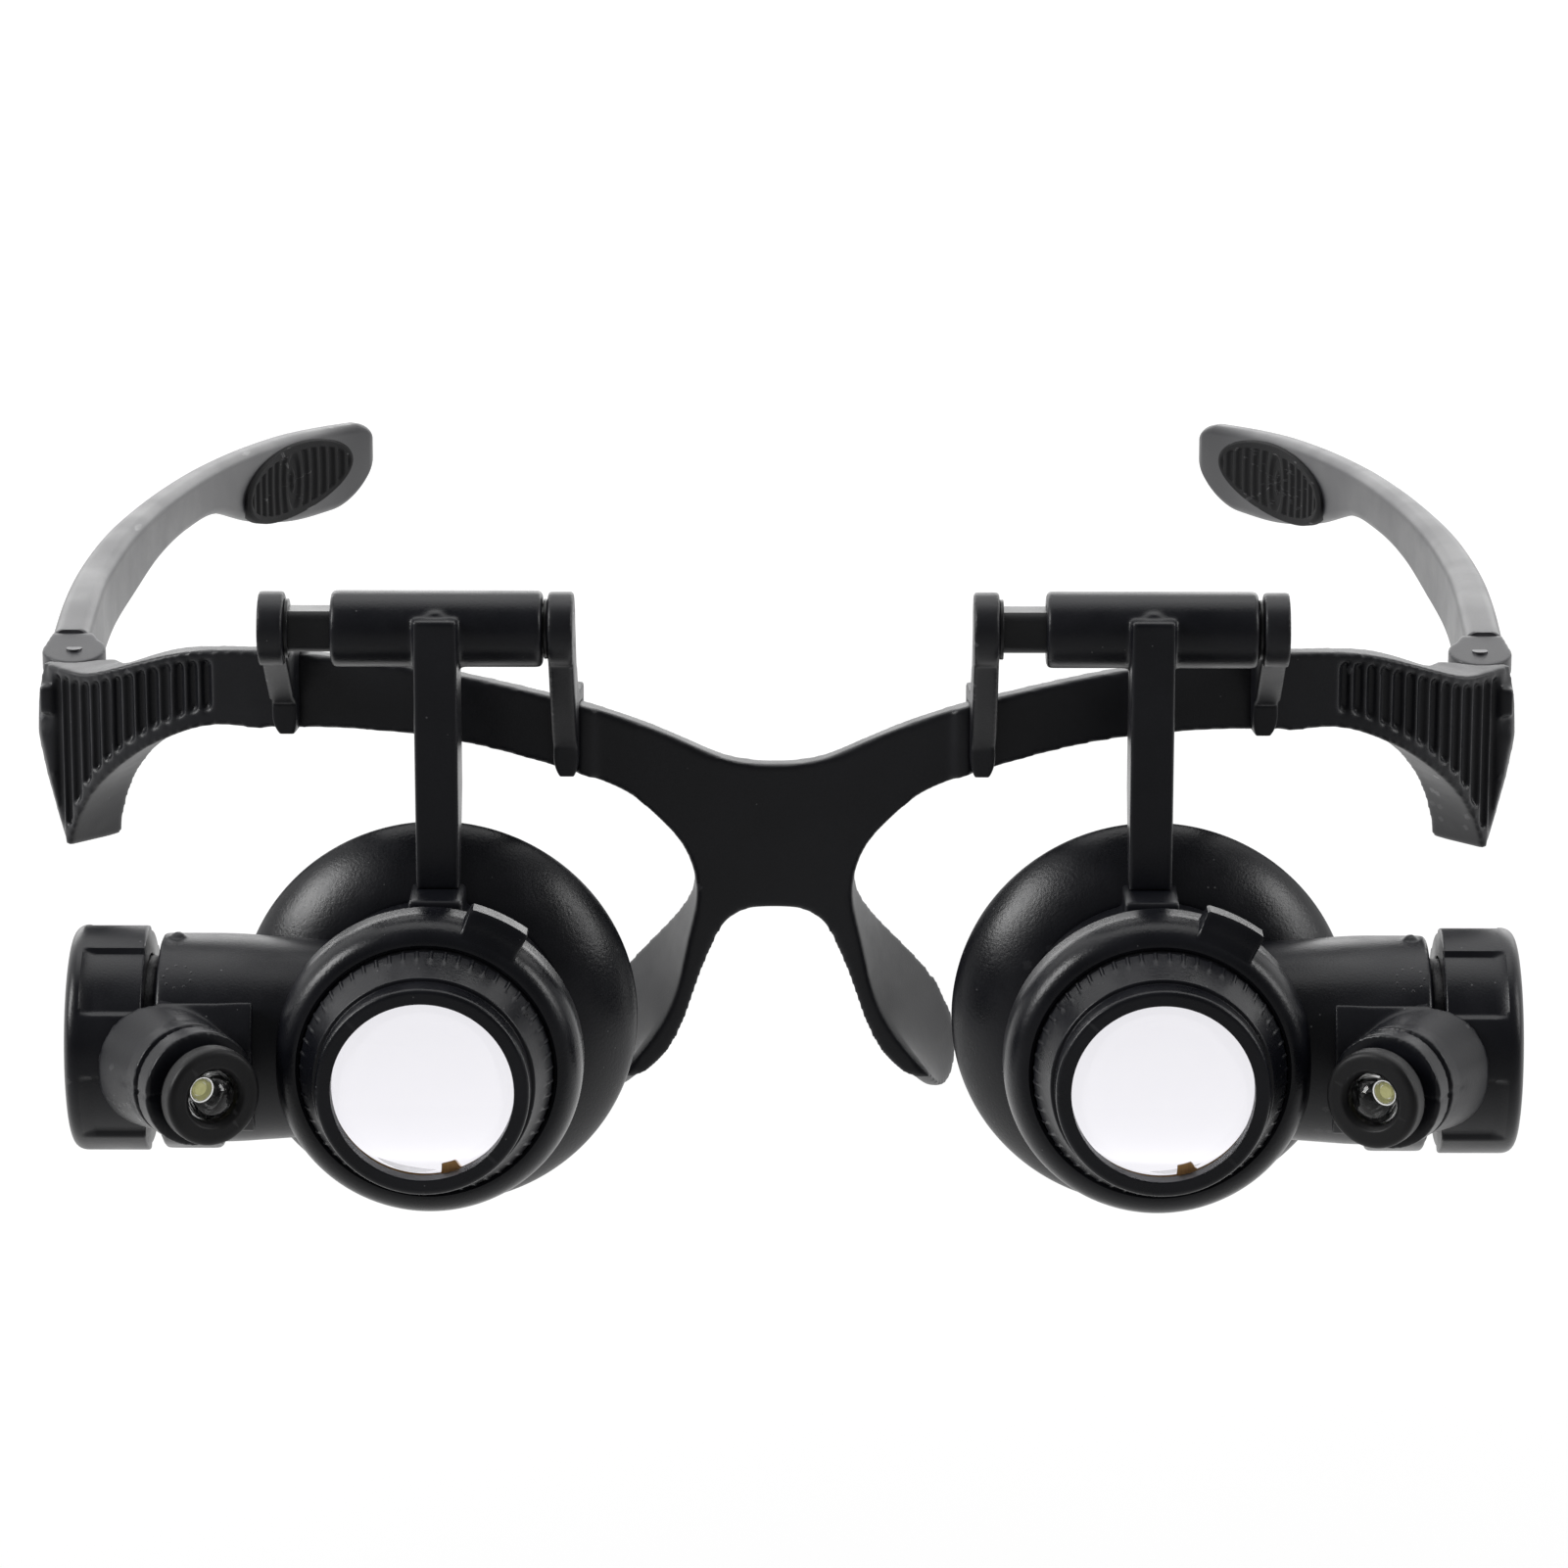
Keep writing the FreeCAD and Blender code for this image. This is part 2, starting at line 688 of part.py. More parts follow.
def loupe_arm():
    half = sleeve_length / 2
    sleeve = round_bar(sleeve_radius, sleeve_length, Vec(-half, rod_y, rod_z), X)
    sleeve = sleeve.makeChamfer(sleeve_round, [e for e in sleeve.Edges if e.Length > sleeve_radius * 6
                                               and len(e.Vertexes) == 1])
    side = loupe_arm_width / 2
    outline = [(loupe_arm_front, loupe_arm_foot), (loupe_arm_front, loupe_arm_top),
               (rod_y, loupe_arm_top), (rod_y, rod_z), (loupe_arm_rear, rod_z),
               (loupe_arm_rear, loupe_arm_waist), (loupe_foot_rear, loupe_arm_foot)]
    arm = prism([Vec(-side, y, z) for y, z in outline], X * loupe_arm_width)
    arm = arm.makeFillet(loupe_arm_round, [e for e in arm.Edges if e.BoundBox.ZMin > rod_z and
                                           e.BoundBox.YLength > loupe_arm_round])
    bore = flat_sided(rod_radius + running_gap, rod_flat + running_gap, sleeve_length + 2 * overrun,
                      -half - overrun)
    return single(sleeve.fuse(arm).cut(bore))


def cup_outer():
    # Outer side of the eyecup from its base to the rim, as (radius, y)
    rise = cup_rim_y - holder_rear
    spread = cup_rim_radius - holder_radius
    shares = ((0.0, 0.0), (0.16, 0.05), (0.36, 0.16), (0.56, 0.33), (0.76, 0.56), (0.91, 0.79),
              (1.0, 1.0))
    return [(holder_radius + spread * r, holder_rear + rise * y) for r, y in shares]


def eyecup():
    outer = cup_outer()
    rim = (cup_rim_radius - cup_wall, cup_rim_y)
    inner = [(r - cup_wall * 0.5, y + cup_wall * 0.9) for r, y in reversed(outer[1:-1])]
    inner = [(r, y) for r, y in inner if y < cup_rim_y - cup_wall * 0.4]
    base = [(cup_bore, holder_rear + cup_wall), (cup_bore, holder_rear - cup_seat_depth),
            (cup_seat_radius, holder_rear - cup_seat_depth), (cup_seat_radius, holder_rear)]
    pairs = outer + [rim] + inner + base
    return turned_on_y(pairs, loupe_offset, loupe_z)


def tube_bar(radius, start, end):
    return round_bar(radius, end - start, Vec(loupe_offset + start, tube_y, loupe_z), X)


def loupe_body():
    x = loupe_offset
    ring = turned_on_y([(holder_bore - running_gap * 4, holder_rear), (holder_radius, holder_rear),
                        (holder_radius, holder_front), (spigot_radius, holder_front),
                        (spigot_radius, spigot_front), (holder_bore - running_gap * 4, spigot_front)],
                       x, loupe_z)
    foot = block(-foot_half_width, foot_half_width, foot_front, holder_rear,
                 loupe_z + holder_radius * math.cos(math.radians(saddle_rise)), loupe_arm_foot)
    tube = tube_bar(tube_radius, root_end, tube_end)
    root = Part.makeCone(root_radius, tube_radius, root_end - root_start,
                         Vec(x + root_start, tube_y, loupe_z), X)
    neck = tube_bar(neck_radius, tube_end, neck_end)
    nub = round_bar(nub_radius, tube_radius + nub_height, Vec(x + nub_u, tube_y, loupe_z), Z)
    core = ring.fuse([foot, tube, root, neck, nub])
    cup_space = turned_on_y([(0, holder_rear)] + cup_outer() + [(cup_rim_radius, 0), (0, 0)],
                            x, loupe_z)
    lock_space = turned_on_y([(spigot_radius, holder_front), (lock_radius + face_gap, holder_front),
                              (lock_radius + face_gap, bezel_front), (spigot_radius, bezel_front)],
                             x, loupe_z)
    bore_length = holder_rear - spigot_front
    lens_bore = round_bar(holder_bore, bore_length + 2 * overrun,
                          Vec(x, spigot_front - overrun, loupe_z), Y)
    seat = round_bar(cup_seat_radius, cup_seat_depth + overrun,
                     Vec(x, holder_rear - cup_seat_depth, loupe_z), Y)
    cells = tube_bar(cell_bore, cell_bore_start, neck_end + overrun)
    strip = block(x + cell_bore_start, x + neck_end + overrun, tube_y - strip_width / 2,
                  tube_y + strip_width / 2, loupe_z - cell_bore - strip_wall, loupe_z)
    return single(core.cut(cup_space).cut(lock_space).cut(lens_bore).cut(seat).cut(cells).cut(strip))


def lock_ring():
    bore = spigot_radius + running_gap
    return turned_on_y([(bore, lock_rear), (lock_radius, lock_rear),
                        (lock_radius, lock_front + lock_round), (lock_radius - lock_round, lock_front),
                        (bore, lock_front)], loupe_offset, loupe_z)


def lock_tab(angle):
    # A thumb tab that stands out of the ring, angle degrees up from +X
    tab = block(spigot_radius + bar_wall / 2, lock_radius + tab_height, lock_front + lock_round / 2,
                lock_rear, -tab_width / 2, tab_width / 2)
    tab.rotate(ORIGIN, Y, -angle)
    tab.translate(Vec(loupe_offset, 0, loupe_z))
    return tab


def lens_sag(radius):
    return lens_curve - math.sqrt(lens_curve * lens_curve - radius * radius)


def lens_tube():
    lens_back = lens_edge_front + lens_edge
    ring_back = lens_back + ring_width
    pairs = [(aperture_radius, bezel_front), (bezel_radius - bezel_round, bezel_front),
             (bezel_radius, bezel_front + bezel_round), (bezel_radius, cone_front),
             (cone_front_radius, cone_front), (cone_rear_radius, cone_rear),
             (holder_bore - running_gap, cone_rear), (holder_bore - running_gap, tube_spigot_rear),
             (tube_bore, tube_spigot_rear), (tube_bore, ring_back), (lens_radius, ring_back),
             (lens_radius, lens_edge_front), (aperture_radius, lens_edge_front)]
    body = turned_on_y(pairs, loupe_offset, loupe_z)
    cutters = []
    pitch = 2 * math.pi * cone_rear_radius / rib_count
    half = pitch * rib_groove_share / 2
    lean = (cone_rear_radius - cone_front_radius) / (cone_rear - cone_front)
    for index in range(rib_count):
        low_r = cone_front_radius - rib_groove_depth
        high_r = low_r + lean * (cone_rear - cone_front)
        groove = prism([Vec(low_r, cone_front - overrun, -half),
                        Vec(low_r + overrun * 2, cone_front - overrun, -half),
                        Vec(high_r + overrun * 2, cone_rear - overrun / 2, -half),
                        Vec(high_r, cone_rear - overrun / 2, -half)], Z * (2 * half))
        groove.rotate(ORIGIN, Y, FULL_TURN * index / rib_count)
        groove.translate(Vec(loupe_offset, 0, loupe_z))
        cutters.append(groove)
    return single(body.cut(Part.makeCompound(cutters)))


def lens():
    front = lens_edge_front
    back = front + lens_edge
    sag = lens_sag(lens_radius)
    rim = round_bar(lens_radius, lens_edge, Vec(loupe_offset, front, loupe_z), Y)
    ball_front = Part.makeSphere(lens_curve, Vec(loupe_offset, front - sag + lens_curve, loupe_z))
    ball_back = Part.makeSphere(lens_curve, Vec(loupe_offset, back + sag - lens_curve, loupe_z))
    long = round_bar(lens_radius, lens_edge + 2 * sag, Vec(loupe_offset, front - sag, loupe_z), Y)
    full = long.common(ball_front).common(ball_back)
    clear = round_bar(aperture_radius, sag, Vec(loupe_offset, front - sag, loupe_z), Y)
    clear_back = round_bar(ring_inner, sag, Vec(loupe_offset, back, loupe_z), Y)
    return single(full.common(rim.fuse([clear, clear_back])))


def retaining_ring():
    back = lens_edge_front + lens_edge
    ring = turned_on_y([(ring_inner, back), (lens_radius, back), (lens_radius, back + ring_width),
                        (ring_inner, back + ring_width)], loupe_offset, loupe_z)
    ear = block(ring_inner - ring_notch_height, ring_inner + overrun / 2, back + ring_width / 2,
                back + ring_width, -ring_notch_width / 2, ring_notch_width / 2)
    ear.rotate(ORIGIN, Y, -ring_notch_angle)
    ear.translate(Vec(loupe_offset, 0, loupe_z))
    return single(ring.fuse(ear))


cap_start = tube_end + cap_gap
cap_floor = cap_start + cap_length - cap_wall
contact_face = cap_floor - face_gap - contact_wall


def battery_cap():
    x = loupe_offset
    bore = neck_radius + 2 * running_gap
    end = cap_start + cap_length
    dome = arc_points(cap_radius - cap_round, 0, cap_round, 90, 0, 4)
    dome = [(r, x + end - cap_round + u) for r, u in dome]
    pairs = [(bore, x + cap_start), (cap_mouth_radius, x + cap_start),
             (cap_radius, x + cap_start + cap_chamfer)] + list(reversed(dome))
    pairs += [(0, x + end), (0, x + cap_floor), (bore, x + cap_floor)]
    cap = turned_on_x(pairs, tube_y, loupe_z)
    cutters = []
    reach = cap_radius * 2
    for index in range(cap_recesses):
        wedge = []
        middle = math.radians(recess_phase + FULL_TURN * index / cap_recesses)
        half = math.radians(recess_angle / 2)
        for angle in (middle - half, middle + half):
            wedge.append(Vec(x + cap_start - overrun, tube_y + reach * math.sin(angle),
                             loupe_z + reach * math.cos(angle)))
        axis_point = Vec(x + cap_start - overrun, tube_y, loupe_z)
        cutters.append(prism([axis_point] + wedge, X * (cap_length - recess_margin + overrun)))
    core = round_bar(cap_radius - recess_depth, cap_start + cap_length, Vec(x, tube_y, loupe_z), X)
    cap = cap.cut(Part.makeCompound(cutters).cut(core))
    hole = round_bar(stud_radius + running_gap, stud_length + face_gap,
                     Vec(x + cap_floor, tube_y, loupe_z), X)
    return single(cap.cut(hole))


def cap_contact():
    x = loupe_offset
    disc = round_bar(contact_radius, contact_wall, Vec(x + contact_face, tube_y, loupe_z), X)
    stud = round_bar(stud_radius, contact_wall + face_gap + stud_length,
                     Vec(x + contact_face, tube_y, loupe_z), X)
    return single(disc.fuse(stud))


cells_end = neck_end - running_gap
cells_start = cells_end - cell_count * cell_height


def battery_cells():
    cells = []
    for index in range(cell_count):
        start = loupe_offset + cells_start + index * cell_height
        can = round_bar(cell_radius, cell_height - cell_step, Vec(start + cell_step, tube_y, loupe_z), X)
        step = round_bar(cell_step_radius, cell_step, Vec(start, tube_y, loupe_z), X)
        cells.append(single(can.fuse(step)))
    return Part.makeCompound(cells)


def cell_spring():
    # A bent leaf between the end of the bore and the first cell
    start = loupe_offset + cell_bore_start
    end = loupe_offset + cells_start
    low = loupe_z - leaf_width / 2
    high = loupe_z + leaf_width / 2
    side = tube_y - leaf_width / 2
    points = [(start, low), (start, high), (start + leaf_wall, high),
              (start + leaf_wall * 2, low + leaf_wall), (end - leaf_wall, loupe_z + leaf_wall),
              (end, loupe_z + leaf_wall), (end, loupe_z),
              (end - leaf_wall, loupe_z), (start + leaf_wall * 2, low)]
    return prism([Vec(u, side, z) for u, z in points], Y * leaf_width)


def contact_strip():
    low = loupe_z - cell_bore - strip_wall
    return block(loupe_offset + cell_bore_start, loupe_offset + neck_end, tube_y - strip_width / 2,
                 tube_y + strip_width / 2, low, low + strip_wall)


# Lamp bracket: pieces are built with the lamp's axis forward (-Y) and then yawed towards the middle

def sector(inner, outer, start, end, rise, fall):
    # Part of a sleeve round the battery tube, from rise degrees above its front to fall below
    ring = tube_bar(outer, start, end).cut(tube_bar(inner, start - overrun, end + overrun))
    steps = 6
    reach = outer * 2
    points = [Vec(loupe_offset + start - overrun, tube_y, loupe_z)]
    for index in range(steps + 1):
        angle = math.radians(rise - (rise + fall) * index / steps)
        points.append(Vec(loupe_offset + start - overrun, tube_y - reach * math.cos(angle),
                          loupe_z + reach * math.sin(angle)))
    return ring.common(prism(points, X * (end - start + 2 * overrun)))


pivot = Vec(loupe_offset + pivot_u, tube_y - pivot_out, loupe_z)


def aimed(shape):
    # Turns a shape from straight ahead at the origin to the lamp's place and direction
    shape.rotate(ORIGIN, Z, -lamp_yaw)
    shape.translate(pivot)
    return shape


def ball(radius, forwards=0):
    # Its poles lie on the lamp's axis and its seam away from the slit
    shape = Part.makeSphere(radius)
    shape.rotate(ORIGIN, Z, HALF_TURN)
    shape.rotate(ORIGIN, X, QUARTER_TURN)
    shape.translate(Y * -forwards)
    return aimed(shape)


def lamp_bar(radius, start, end):
    # Along the lamp's axis; positive is forwards
    return aimed(round_bar(radius, end - start, Vec(0, -end, 0), Y))


def lamp_bracket():
    bore = tube_radius + running_gap
    outer = bore + clip_wall
    clip = sector(bore, outer, clip_start, clip_end, saddle_rise, clip_wrap - saddle_rise)
    saddle = sector(bore, outer, saddle_start, clip_end, saddle_rise, saddle_fall)
    socket = lamp_bar(socket_radius, -socket_rear, socket_front)
    funnel = aimed(Part.makeCone(socket_radius, funnel_radius, funnel_length,
                                 Vec(0, socket_rear - overrun, 0), Y))
    shape = clip.fuse([saddle, socket, funnel])
    shape = shape.cut(tube_bar(bore, 0, tube_end + cap_gap / 2))
    cap_room = tube_bar(cap_radius + face_gap, tube_end - face_gap, tube_end + cap_length * 2)
    shape = shape.cut(cap_room)
    limit = block(loupe_offset, loupe_offset + cap_start + cap_length, tube_y - tube_radius / 2, 0,
                  loupe_z - tube_radius * 2, loupe_z + tube_radius * 2)
    spare = funnel.common(limit).cut(clip)
    shape = shape.cut(spare)
    groove = lamp_bar(socket_radius + overrun, -socket_groove / 2, socket_groove / 2)
    groove = groove.cut(lamp_bar(socket_radius - socket_groove_depth, -overrun, overrun))
    cavity = ball(ball_radius + running_gap * 2)
    mouth = lamp_bar(ball_radius - running_gap * 2, 0, socket_front + overrun)
    slit = aimed(block(0, socket_radius * 2, -socket_front - overrun, socket_rear,
                       -socket_slit / 2, socket_slit / 2))
    return single(shape.cut(groove).cut(cavity).cut(mouth).cut(slit))


def lamp_holder():
    knob = ball(ball_radius)
    neck = lamp_bar(holder_neck_radius, 0, holder_ring_start + overrun)
    ring = aimed(turned_on_y([(0, -holder_ring_start), (holder_ring_radius - holder_ring_round / 2,
                                                        -holder_ring_start),
                              (holder_ring_radius, -holder_ring_start - holder_ring_round / 2),
                              (holder_ring_radius, -holder_ring_end + holder_ring_round),
                              (holder_ring_radius - holder_ring_round, -holder_ring_end),
                              (0, -holder_ring_end)], 0, 0))
    dish = aimed(Part.makeCone(dish_radius, led_radius, dish_depth, Vec(0, -holder_ring_end, 0), Y))
    bore = lamp_bar(led_radius, led_base, holder_ring_end + overrun)
    flange = lamp_bar(led_flange_radius, led_base, led_base + led_flange)
    legs = lamp_bar(led_leg_gap / 2 + led_leg, led_base - led_leg_length, led_base)
    return single(knob.fuse([neck, ring]).cut(dish).cut(bore).cut(flange).cut(legs))


def led():
    straight = led_tip - led_radius
    body = lamp_bar(led_radius, led_base, straight)
    dome = ball(led_radius, straight)
    flange = lamp_bar(led_flange_radius, led_base, led_base + led_flange)
    legs = []
    for side in (-1, 1):
        centre = side * led_leg_gap / 2
        legs.append(aimed(block(centre - led_leg / 2, centre + led_leg / 2, -led_base,
                                -led_base + led_leg_length, -led_leg / 2, led_leg / 2)))
    return single(body.fuse([dome, flange] + legs))


# Assembly: every piece is built on the wearer's left and mirrored to the right. The left carriage
# rests at the outer end of its rod and the right one at the inner end, as they were left.

frame = front_frame()
parts["front_frame"] = frame

temple_arm, ear_pad = temple_pieces()
fixed_side = {"hinge_block": hinge_block(), "hinge_screw": hinge_screw(), "temple_arm": temple_arm,
              "ear_pad": ear_pad, "outer_lug": finished_lug(lug_outer_x, frame),
              "inner_lug": finished_lug(lug_inner_x, frame), "slide_rod": slide_rod()}
loupe_side = {"loupe_arm": loupe_arm(), "loupe_body": loupe_body(), "eyecup": eyecup(),
              "lens_tube": lens_tube(), "lens": lens(), "retaining_ring": retaining_ring(),
              "battery_cap": battery_cap(), "cap_contact": cap_contact(),
              "battery_cells": battery_cells(), "cell_spring": cell_spring(),
              "contact_strip": contact_strip(), "lamp_bracket": lamp_bracket(),
              "lamp_holder": lamp_holder(), "led": led()}

for name, shape in fixed_side.items():
    parts["left_" + name] = shape
    parts["right_" + name] = mirrored(shape)

rod_middle = (lug_inner_x + lug_outer_x) / 2
left_place = X * (rod_middle + pupil_travel / 2)
right_place = X * (-rod_middle + pupil_travel / 2)
for name, shape in loupe_side.items():
    left = shape.copy()
    left.translate(left_place)
    parts["left_" + name] = left
    right = mirrored(shape)
    right.translate(right_place)
    parts["right_" + name] = right

# The thumb tabs are on the same hand, not mirrored
left_ring = single(lock_ring().fuse(lock_tab(tab_angle)))
left_ring.translate(left_place)
parts["left_lock_ring"] = left_ring
right_ring = mirrored(single(lock_ring().fuse(lock_tab(HALF_TURN - tab_angle))))
right_ring.translate(right_place)
parts["right_lock_ring"] = right_ring

os.makedirs("parts", exist_ok=True)
for name, shape in sorted(parts.items()):
    shape.exportStep("parts/" + name + ".step")
    box = shape.BoundBox
    print(name, len(shape.Solids), "valid" if shape.isValid() else "NOT VALID", round(shape.Volume, 1),
          [round(v, 1) for v in (box.XMin, box.XMax, box.YMin, box.YMax, box.ZMin, box.ZMax)])
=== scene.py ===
# Head-worn loupe glasses with a lamp on each side: finishes and rounded pieces round the fixed frame
import json
import math

import bmesh
import bpy
import numpy as np
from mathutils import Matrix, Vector


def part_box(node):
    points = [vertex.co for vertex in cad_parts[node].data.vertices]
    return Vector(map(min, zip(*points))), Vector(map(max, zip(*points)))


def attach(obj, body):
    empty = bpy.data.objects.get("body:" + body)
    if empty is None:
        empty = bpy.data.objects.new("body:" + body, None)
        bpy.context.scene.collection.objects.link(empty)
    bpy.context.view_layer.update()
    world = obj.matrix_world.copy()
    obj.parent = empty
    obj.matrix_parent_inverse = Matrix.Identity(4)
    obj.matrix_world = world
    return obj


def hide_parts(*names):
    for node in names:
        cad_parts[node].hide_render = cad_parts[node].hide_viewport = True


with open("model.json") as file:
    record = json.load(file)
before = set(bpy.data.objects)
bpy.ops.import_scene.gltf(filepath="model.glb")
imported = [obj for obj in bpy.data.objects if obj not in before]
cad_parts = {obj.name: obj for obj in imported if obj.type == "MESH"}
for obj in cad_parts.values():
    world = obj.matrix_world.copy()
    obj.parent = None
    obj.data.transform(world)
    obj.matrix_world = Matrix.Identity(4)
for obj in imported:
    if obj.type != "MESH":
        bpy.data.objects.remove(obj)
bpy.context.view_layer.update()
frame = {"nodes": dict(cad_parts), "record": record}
mm = 0.001
tau = 2 * math.pi
sides = {"left": 1, "right": -1}      # the wearer's side, and which way is outwards along X
print("frame loaded")

# Camera: the photograph is taken from just above, a little left of the middle

camera = {"target": (0.94, -1.2, 12.54), "distance": 620.0, "elevation": 14.68, "azimuth": -0.48,
          "pixelsPerMm": 10.4, "imageWidth": 1601, "sensor": 36.0}


def makeCamera():
    a = math.radians(camera["azimuth"])
    e = math.radians(camera["elevation"])
    back = Vector((math.sin(-a) * math.cos(e), -math.cos(a) * math.cos(e), math.sin(e)))
    data = bpy.data.cameras.new("photoCamera")
    data.sensor_width = camera["sensor"]
    data.lens = camera["sensor"] * camera["pixelsPerMm"] * camera["distance"] / camera["imageWidth"]
    data.clip_end = 20
    cam = bpy.data.objects.new("photoCamera", data)
    bpy.context.scene.collection.objects.link(cam)
    cam.rotation_mode = "QUATERNION"
    cam.rotation_quaternion = (-back).to_track_quat("-Z", "Y")
    cam.location = Vector(camera["target"]) * mm + back * camera["distance"] * mm
    bpy.context.scene.camera = cam


makeCamera()

# Floor, world and lamps. The camera, and what glass shows, see both as white. What gloss shows is
# brighter behind the object and dark in front of it

studio = {"floorZ": -0.115, "floorSize": 8.0, "floorColor": 0.22, "floorRough": 0.9, "nearGlow": 0.79,
          "farGlow": 1.0, "nearReach": 0.10, "farReach": 1.1, "fill": 0.38, "frontTone": 0.06,
          "backTone": 1.05, "floorTurn": (-0.20, 0.12), "worldTurn": (-0.15, 0.45),
          "lamps": {"topBox": ((0.0, 0.15, 0.80), 0.9, 0.6, 0.8),
                    "backBox": ((0.0, 1.25, 0.40), 1.8, 0.6, 1.6),
                    "leftBox": ((-0.85, -0.22, 0.52), 0.34, 0.5, 9.0),
                    "rightBox": ((0.85, -0.15, 0.42), 0.26, 0.5, 5.0)}}
white = (1, 1, 1, 1)


def fill(tree, sockets, values):
    # Each named socket takes a plain value, or a link from another node's output
    for name, value in values.items():
        if isinstance(value, bpy.types.NodeSocket):
            tree.links.new(value, sockets[name])
        else:
            sockets[name].default_value = value


def node(tree, kind, output=None, inputs={}, **settings):
    # A new shader node. It gives the output of that name, or all of its outputs
    made = tree.nodes.new("ShaderNode" + kind)
    for name, value in settings.items():
        setattr(made, name, value)
    fill(tree, made.inputs, inputs)
    return made.outputs if output is None else made.outputs[output]


def calc(tree, operation, first, second, clamp=False):
    return node(tree, "Math", 0, {0: first, 1: second}, operation=operation, use_clamp=clamp)


def ramp(tree, value, start=0.0, end=1.0, low=0.0, high=1.0, curve="LINEAR"):
    # Low where the value is at its start, high where it is at its end
    return node(tree, "MapRange", "Result", {"Value": value, "From Min": start, "From Max": end,
                                            "To Min": low, "To Max": high}, interpolation_type=curve)


def mixed(tree, share, first, second, kind="RGBA"):
    return node(tree, "Mix", "Result", {"Factor": share, "A": first, "B": second}, data_type=kind)


def noise(tree, place, scale, detail, rough=0.5):
    return node(tree, "TexNoise", "Fac", {"Vector": place, "Scale": scale, "Detail": detail,
                                         "Roughness": rough})


def makeMaterial(name, shade, *look):
    # A shade function makes the nodes and says what the shader's inputs take
    material = bpy.data.materials.new(name)
    material.use_nodes = True
    tree = material.node_tree
    fill(tree, tree.nodes["Principled BSDF"].inputs, shade(tree, *look))
    return material


def seenDirectly(tree):
    # 1 for camera, glossy and transmission rays, and what tells them apart
    path = node(tree, "LightPath")
    seen = calc(tree, "MAXIMUM", path["Is Camera Ray"], path["Is Glossy Ray"])
    return calc(tree, "MAXIMUM", seen, path["Is Transmission Ray"]), path


def reflectedTone(tree, path, place, turn):
    # What a mirrored ray finds: frontTone in front of the object and backTone behind it. Others find 1
    y = node(tree, "SeparateXYZ", "Y", {0: place})
    tone = ramp(tree, y, *turn, studio["frontTone"], studio["backTone"])
    through = calc(tree, "SUBTRACT", 1.0, path["Is Transmission Ray"])
    mirrored = calc(tree, "MULTIPLY", path["Is Glossy Ray"], through)
    return calc(tree, "ADD", calc(tree, "MULTIPLY", calc(tree, "SUBTRACT", tone, 1.0), mirrored), 1.0)


def shadeFloor(tree):
    s = studio
    seen, path = seenDirectly(tree)
    place = node(tree, "TexCoord", "Object")
    flat = node(tree, "VectorMath", "Vector", {0: place, 1: (1, 1, 0)}, operation="MULTIPLY")
    reach = node(tree, "VectorMath", "Value", {0: flat}, operation="LENGTH")
    glow = ramp(tree, reach, s["nearReach"], s["farReach"], s["nearGlow"], s["farGlow"])
    tone = reflectedTone(tree, path, place, s["floorTurn"])
    return {"Base Color": (*(s["floorColor"],) * 3, 1), "Roughness": s["floorRough"],
            "Specular IOR Level": 0.0, "Emission Color": white,
            "Emission Strength": calc(tree, "MULTIPLY", calc(tree, "MULTIPLY", seen, glow), tone)}


def makeFloor():
    half = studio["floorSize"] / 2
    corners = [(-half, -half), (half, -half), (half, half), (-half, half)]
    mesh = bpy.data.meshes.new("floor")
    mesh.from_pydata([(x, y, studio["floorZ"]) for x, y in corners], [], [(0, 1, 2, 3)])
    floor = bpy.data.objects.new("floor", mesh)
    bpy.context.scene.collection.objects.link(floor)
    mesh.materials.append(makeMaterial("paleFloor", shadeFloor))


def makeWorld():
    world = bpy.data.worlds.new("studio")
    world.use_nodes = True
    bpy.context.scene.world = world
    tree = world.node_tree
    seen, path = seenDirectly(tree)
    tone = reflectedTone(tree, path, node(tree, "TexCoord", "Generated"), studio["worldTurn"])
    fill(tree, tree.nodes["Background"].inputs,
         {"Color": white, "Strength": mixed(tree, seen, studio["fill"], tone, "FLOAT")})


def makeLamps():
    # A box's power is its brightness times pi times its area, so each is written as a brightness
    for name, (place, width, height, brightness) in studio["lamps"].items():
        data = bpy.data.lights.new(name, "AREA")
        data.shape = "RECTANGLE"
        data.size = width
        data.size_y = height
        data.energy = brightness * math.pi * width * height
        lamp = bpy.data.objects.new(name, data)
        bpy.context.scene.collection.objects.link(lamp)
        lamp.location = place
        lamp.rotation_mode = "QUATERNION"
        lamp.rotation_quaternion = (-Vector(place)).to_track_quat("-Z", "Y")
        lamp.visible_camera = False
        lamp.visible_transmission = False


makeFloor()
makeWorld()
makeLamps()
bpy.context.scene.view_settings.view_transform = "Standard"
print("stage lit")

# Node groups that several finishes share. Textures are (scale, detail, roughness)

texture = {"fine": (3.0, 0.6), "cloud": (160.0, 4.0, 0.55), "cloudRange": (0.35, 0.68),
           "cloudShare": 0.6, "fineShare": 0.4, "bump": 0.00004, "patch": (220.0, 2.0),
           "broken": (420.0, 3.0), "brokenRange": (0.35, 0.6, 0.35)}


